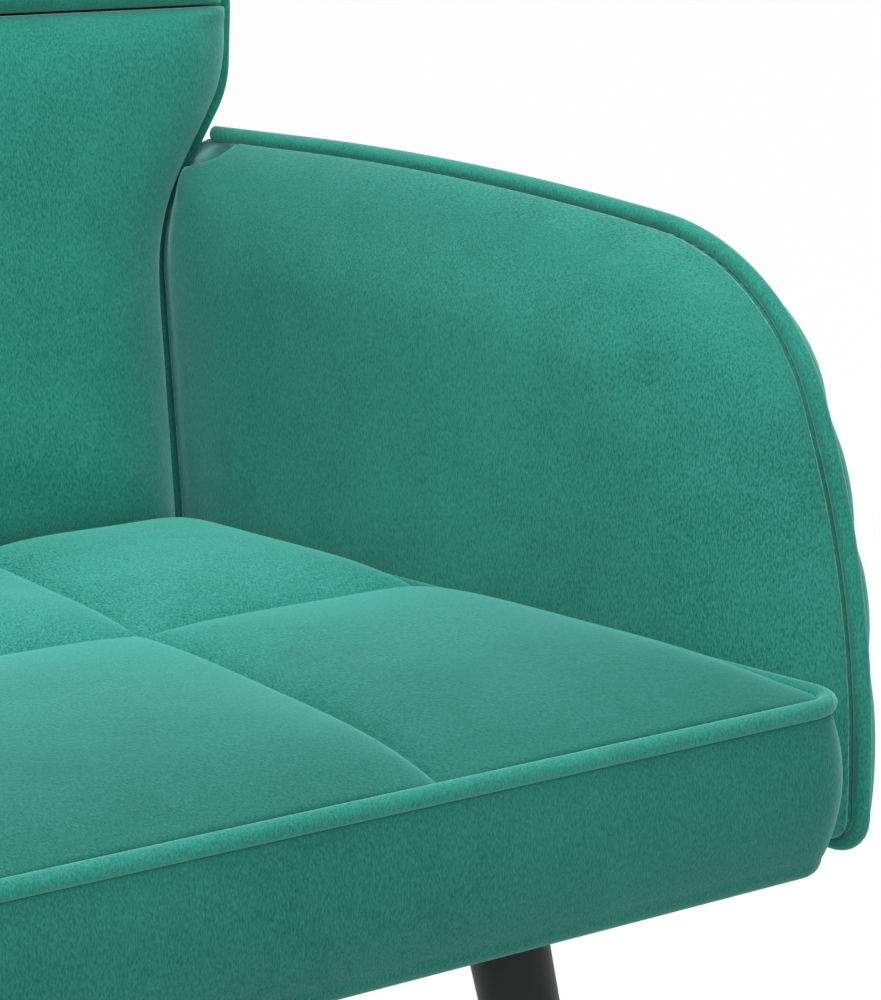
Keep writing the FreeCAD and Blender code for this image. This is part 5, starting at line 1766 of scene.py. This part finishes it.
@dataclass
class Studio:
    """Pale floor, soft lights and the camera at the photograph's place."""

    shop: Workshop
    lens: float = 3080.3 / PHOTO_HEIGHT * SENSOR
    azimuth: float = math.radians(-34.8)
    tilt: float = math.radians(13.1)
    place: tuple[float, float, float] = (-0.5373, -1.1168, 0.886)

    def camera(self) -> None:
        """Camera fitted to the photograph's sewn lines."""
        data = bpy.data.cameras.new("camera")
        data.sensor_fit = "VERTICAL"
        data.sensor_height = SENSOR
        data.lens = self.lens
        data.clip_end = 50
        camera = bpy.data.objects.new("camera", data)
        x, y, z = self.place
        camera.location = (x, y + self.shop.frames.front, z)
        camera.rotation_euler = (math.pi / 2 - self.tilt, 0, self.azimuth)
        bpy.context.scene.collection.objects.link(camera)
        bpy.context.scene.camera = camera

    def floor(self) -> None:
        """Pale floor that turns white for the camera and keeps the sofa's shadow."""
        reach = 40.0
        points = np.array([(-reach, -reach, 0), (reach, -reach, 0), (reach, reach, 0), (-reach, reach, 0)])
        floor = mesh_piece("floor", points, [(0, 1, 2, 3)])
        material, make, shader, _ = blank_material("floor")
        seen = self.seen(make)
        make.feed(shader.inputs["Base Color"], make.mix(seen, (0.5, 0.5, 0.5, 1), (0.95, 0.95, 0.95, 1)))
        shader.inputs["Roughness"].default_value = 0.9
        glow = make.add("Emission", Color=(1, 1, 1, 1), Strength=1.0)
        share = make.math("MULTIPLY", seen, 0.97)
        mix = make.add("MixShader", i0=share, i1=shader.outputs[0], i2=glow.outputs[0])
        output = material.node_tree.nodes["Material Output"]
        material.node_tree.links.new(mix.outputs[0], output.inputs["Surface"])
        floor.data.materials.append(material)

    @staticmethod
    def seen(make: Shading) -> bpy.types.NodeSocket:
        """1 for what the camera sees, straight, in a reflection or through glass, and 0 for other light."""
        path = make.add("LightPath")
        direct = make.math("MAXIMUM", path.outputs["Is Camera Ray"], path.outputs["Is Glossy Ray"])
        return make.math("MAXIMUM", direct, path.outputs["Is Transmission Ray"])

    def lamp(self, name: str, place: tuple[float, float, float], size: float, power: float) -> None:
        """Square soft lamp aimed at the seat."""
        data = bpy.data.lights.new(name, "AREA")
        data.energy = power
        data.size = size
        lamp = bpy.data.objects.new(name, data)
        lamp.location = place
        aim = Vector((0.1, 0, 0.5)) - lamp.location
        lamp.rotation_euler = aim.to_track_quat("-Z", "Y").to_euler()
        bpy.context.scene.collection.objects.link(lamp)

    def sky(self) -> None:
        """Even white surroundings."""
        world = bpy.data.worlds.new("studio")
        bpy.context.scene.world = world
        world.use_nodes = True
        make = Shading(world.node_tree)
        strength = make.math("MAXIMUM", self.seen(make), 0.5)
        back = world.node_tree.nodes["Background"]
        back.inputs["Color"].default_value = (1, 1, 1, 1)
        make.feed(back.inputs["Strength"], strength)

    def build(self) -> None:
        """Whole studio."""
        bpy.context.scene.view_settings.view_transform = "Standard"
        self.camera()
        self.floor()
        self.sky()
        self.lamp("key_lamp", (-0.9, -1.5, 1.6), 1.6, 28)
        self.lamp("top_lamp", (0.2, 0.35, 2.3), 1.8, 29)


def dress_frame(shop: Workshop, record: dict) -> None:
    """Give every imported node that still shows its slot's material."""
    slots = {row["node"]: row["material_slot"] for row in record["subparts"]}
    for name, node in shop.nodes.items():
        shop.finishes.dress(node, slots[name])


def main() -> None:
    """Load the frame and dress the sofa."""
    logging.basicConfig(level=logging.INFO, format="%(name)s %(message)s")
    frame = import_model()
    sizes = SofaSizes()
    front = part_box("seat_front_rail")[0].y - sizes.border_thickness
    finishes = Finishes()
    finishes.build()
    shop = Workshop(sizes, Frames(sizes, front), finishes, PathTree("welt_cord"), frame["nodes"])
    dress_frame(shop, frame["record"])
    QuiltedSeat(shop).build()
    back = WingedBack(shop)
    back.build()
    PaddedArm(shop, back).build()
    Underside(shop).build()
    SplayedLegs(shop).build()
    Studio(shop).build()


if __name__ == "__main__":
    main()
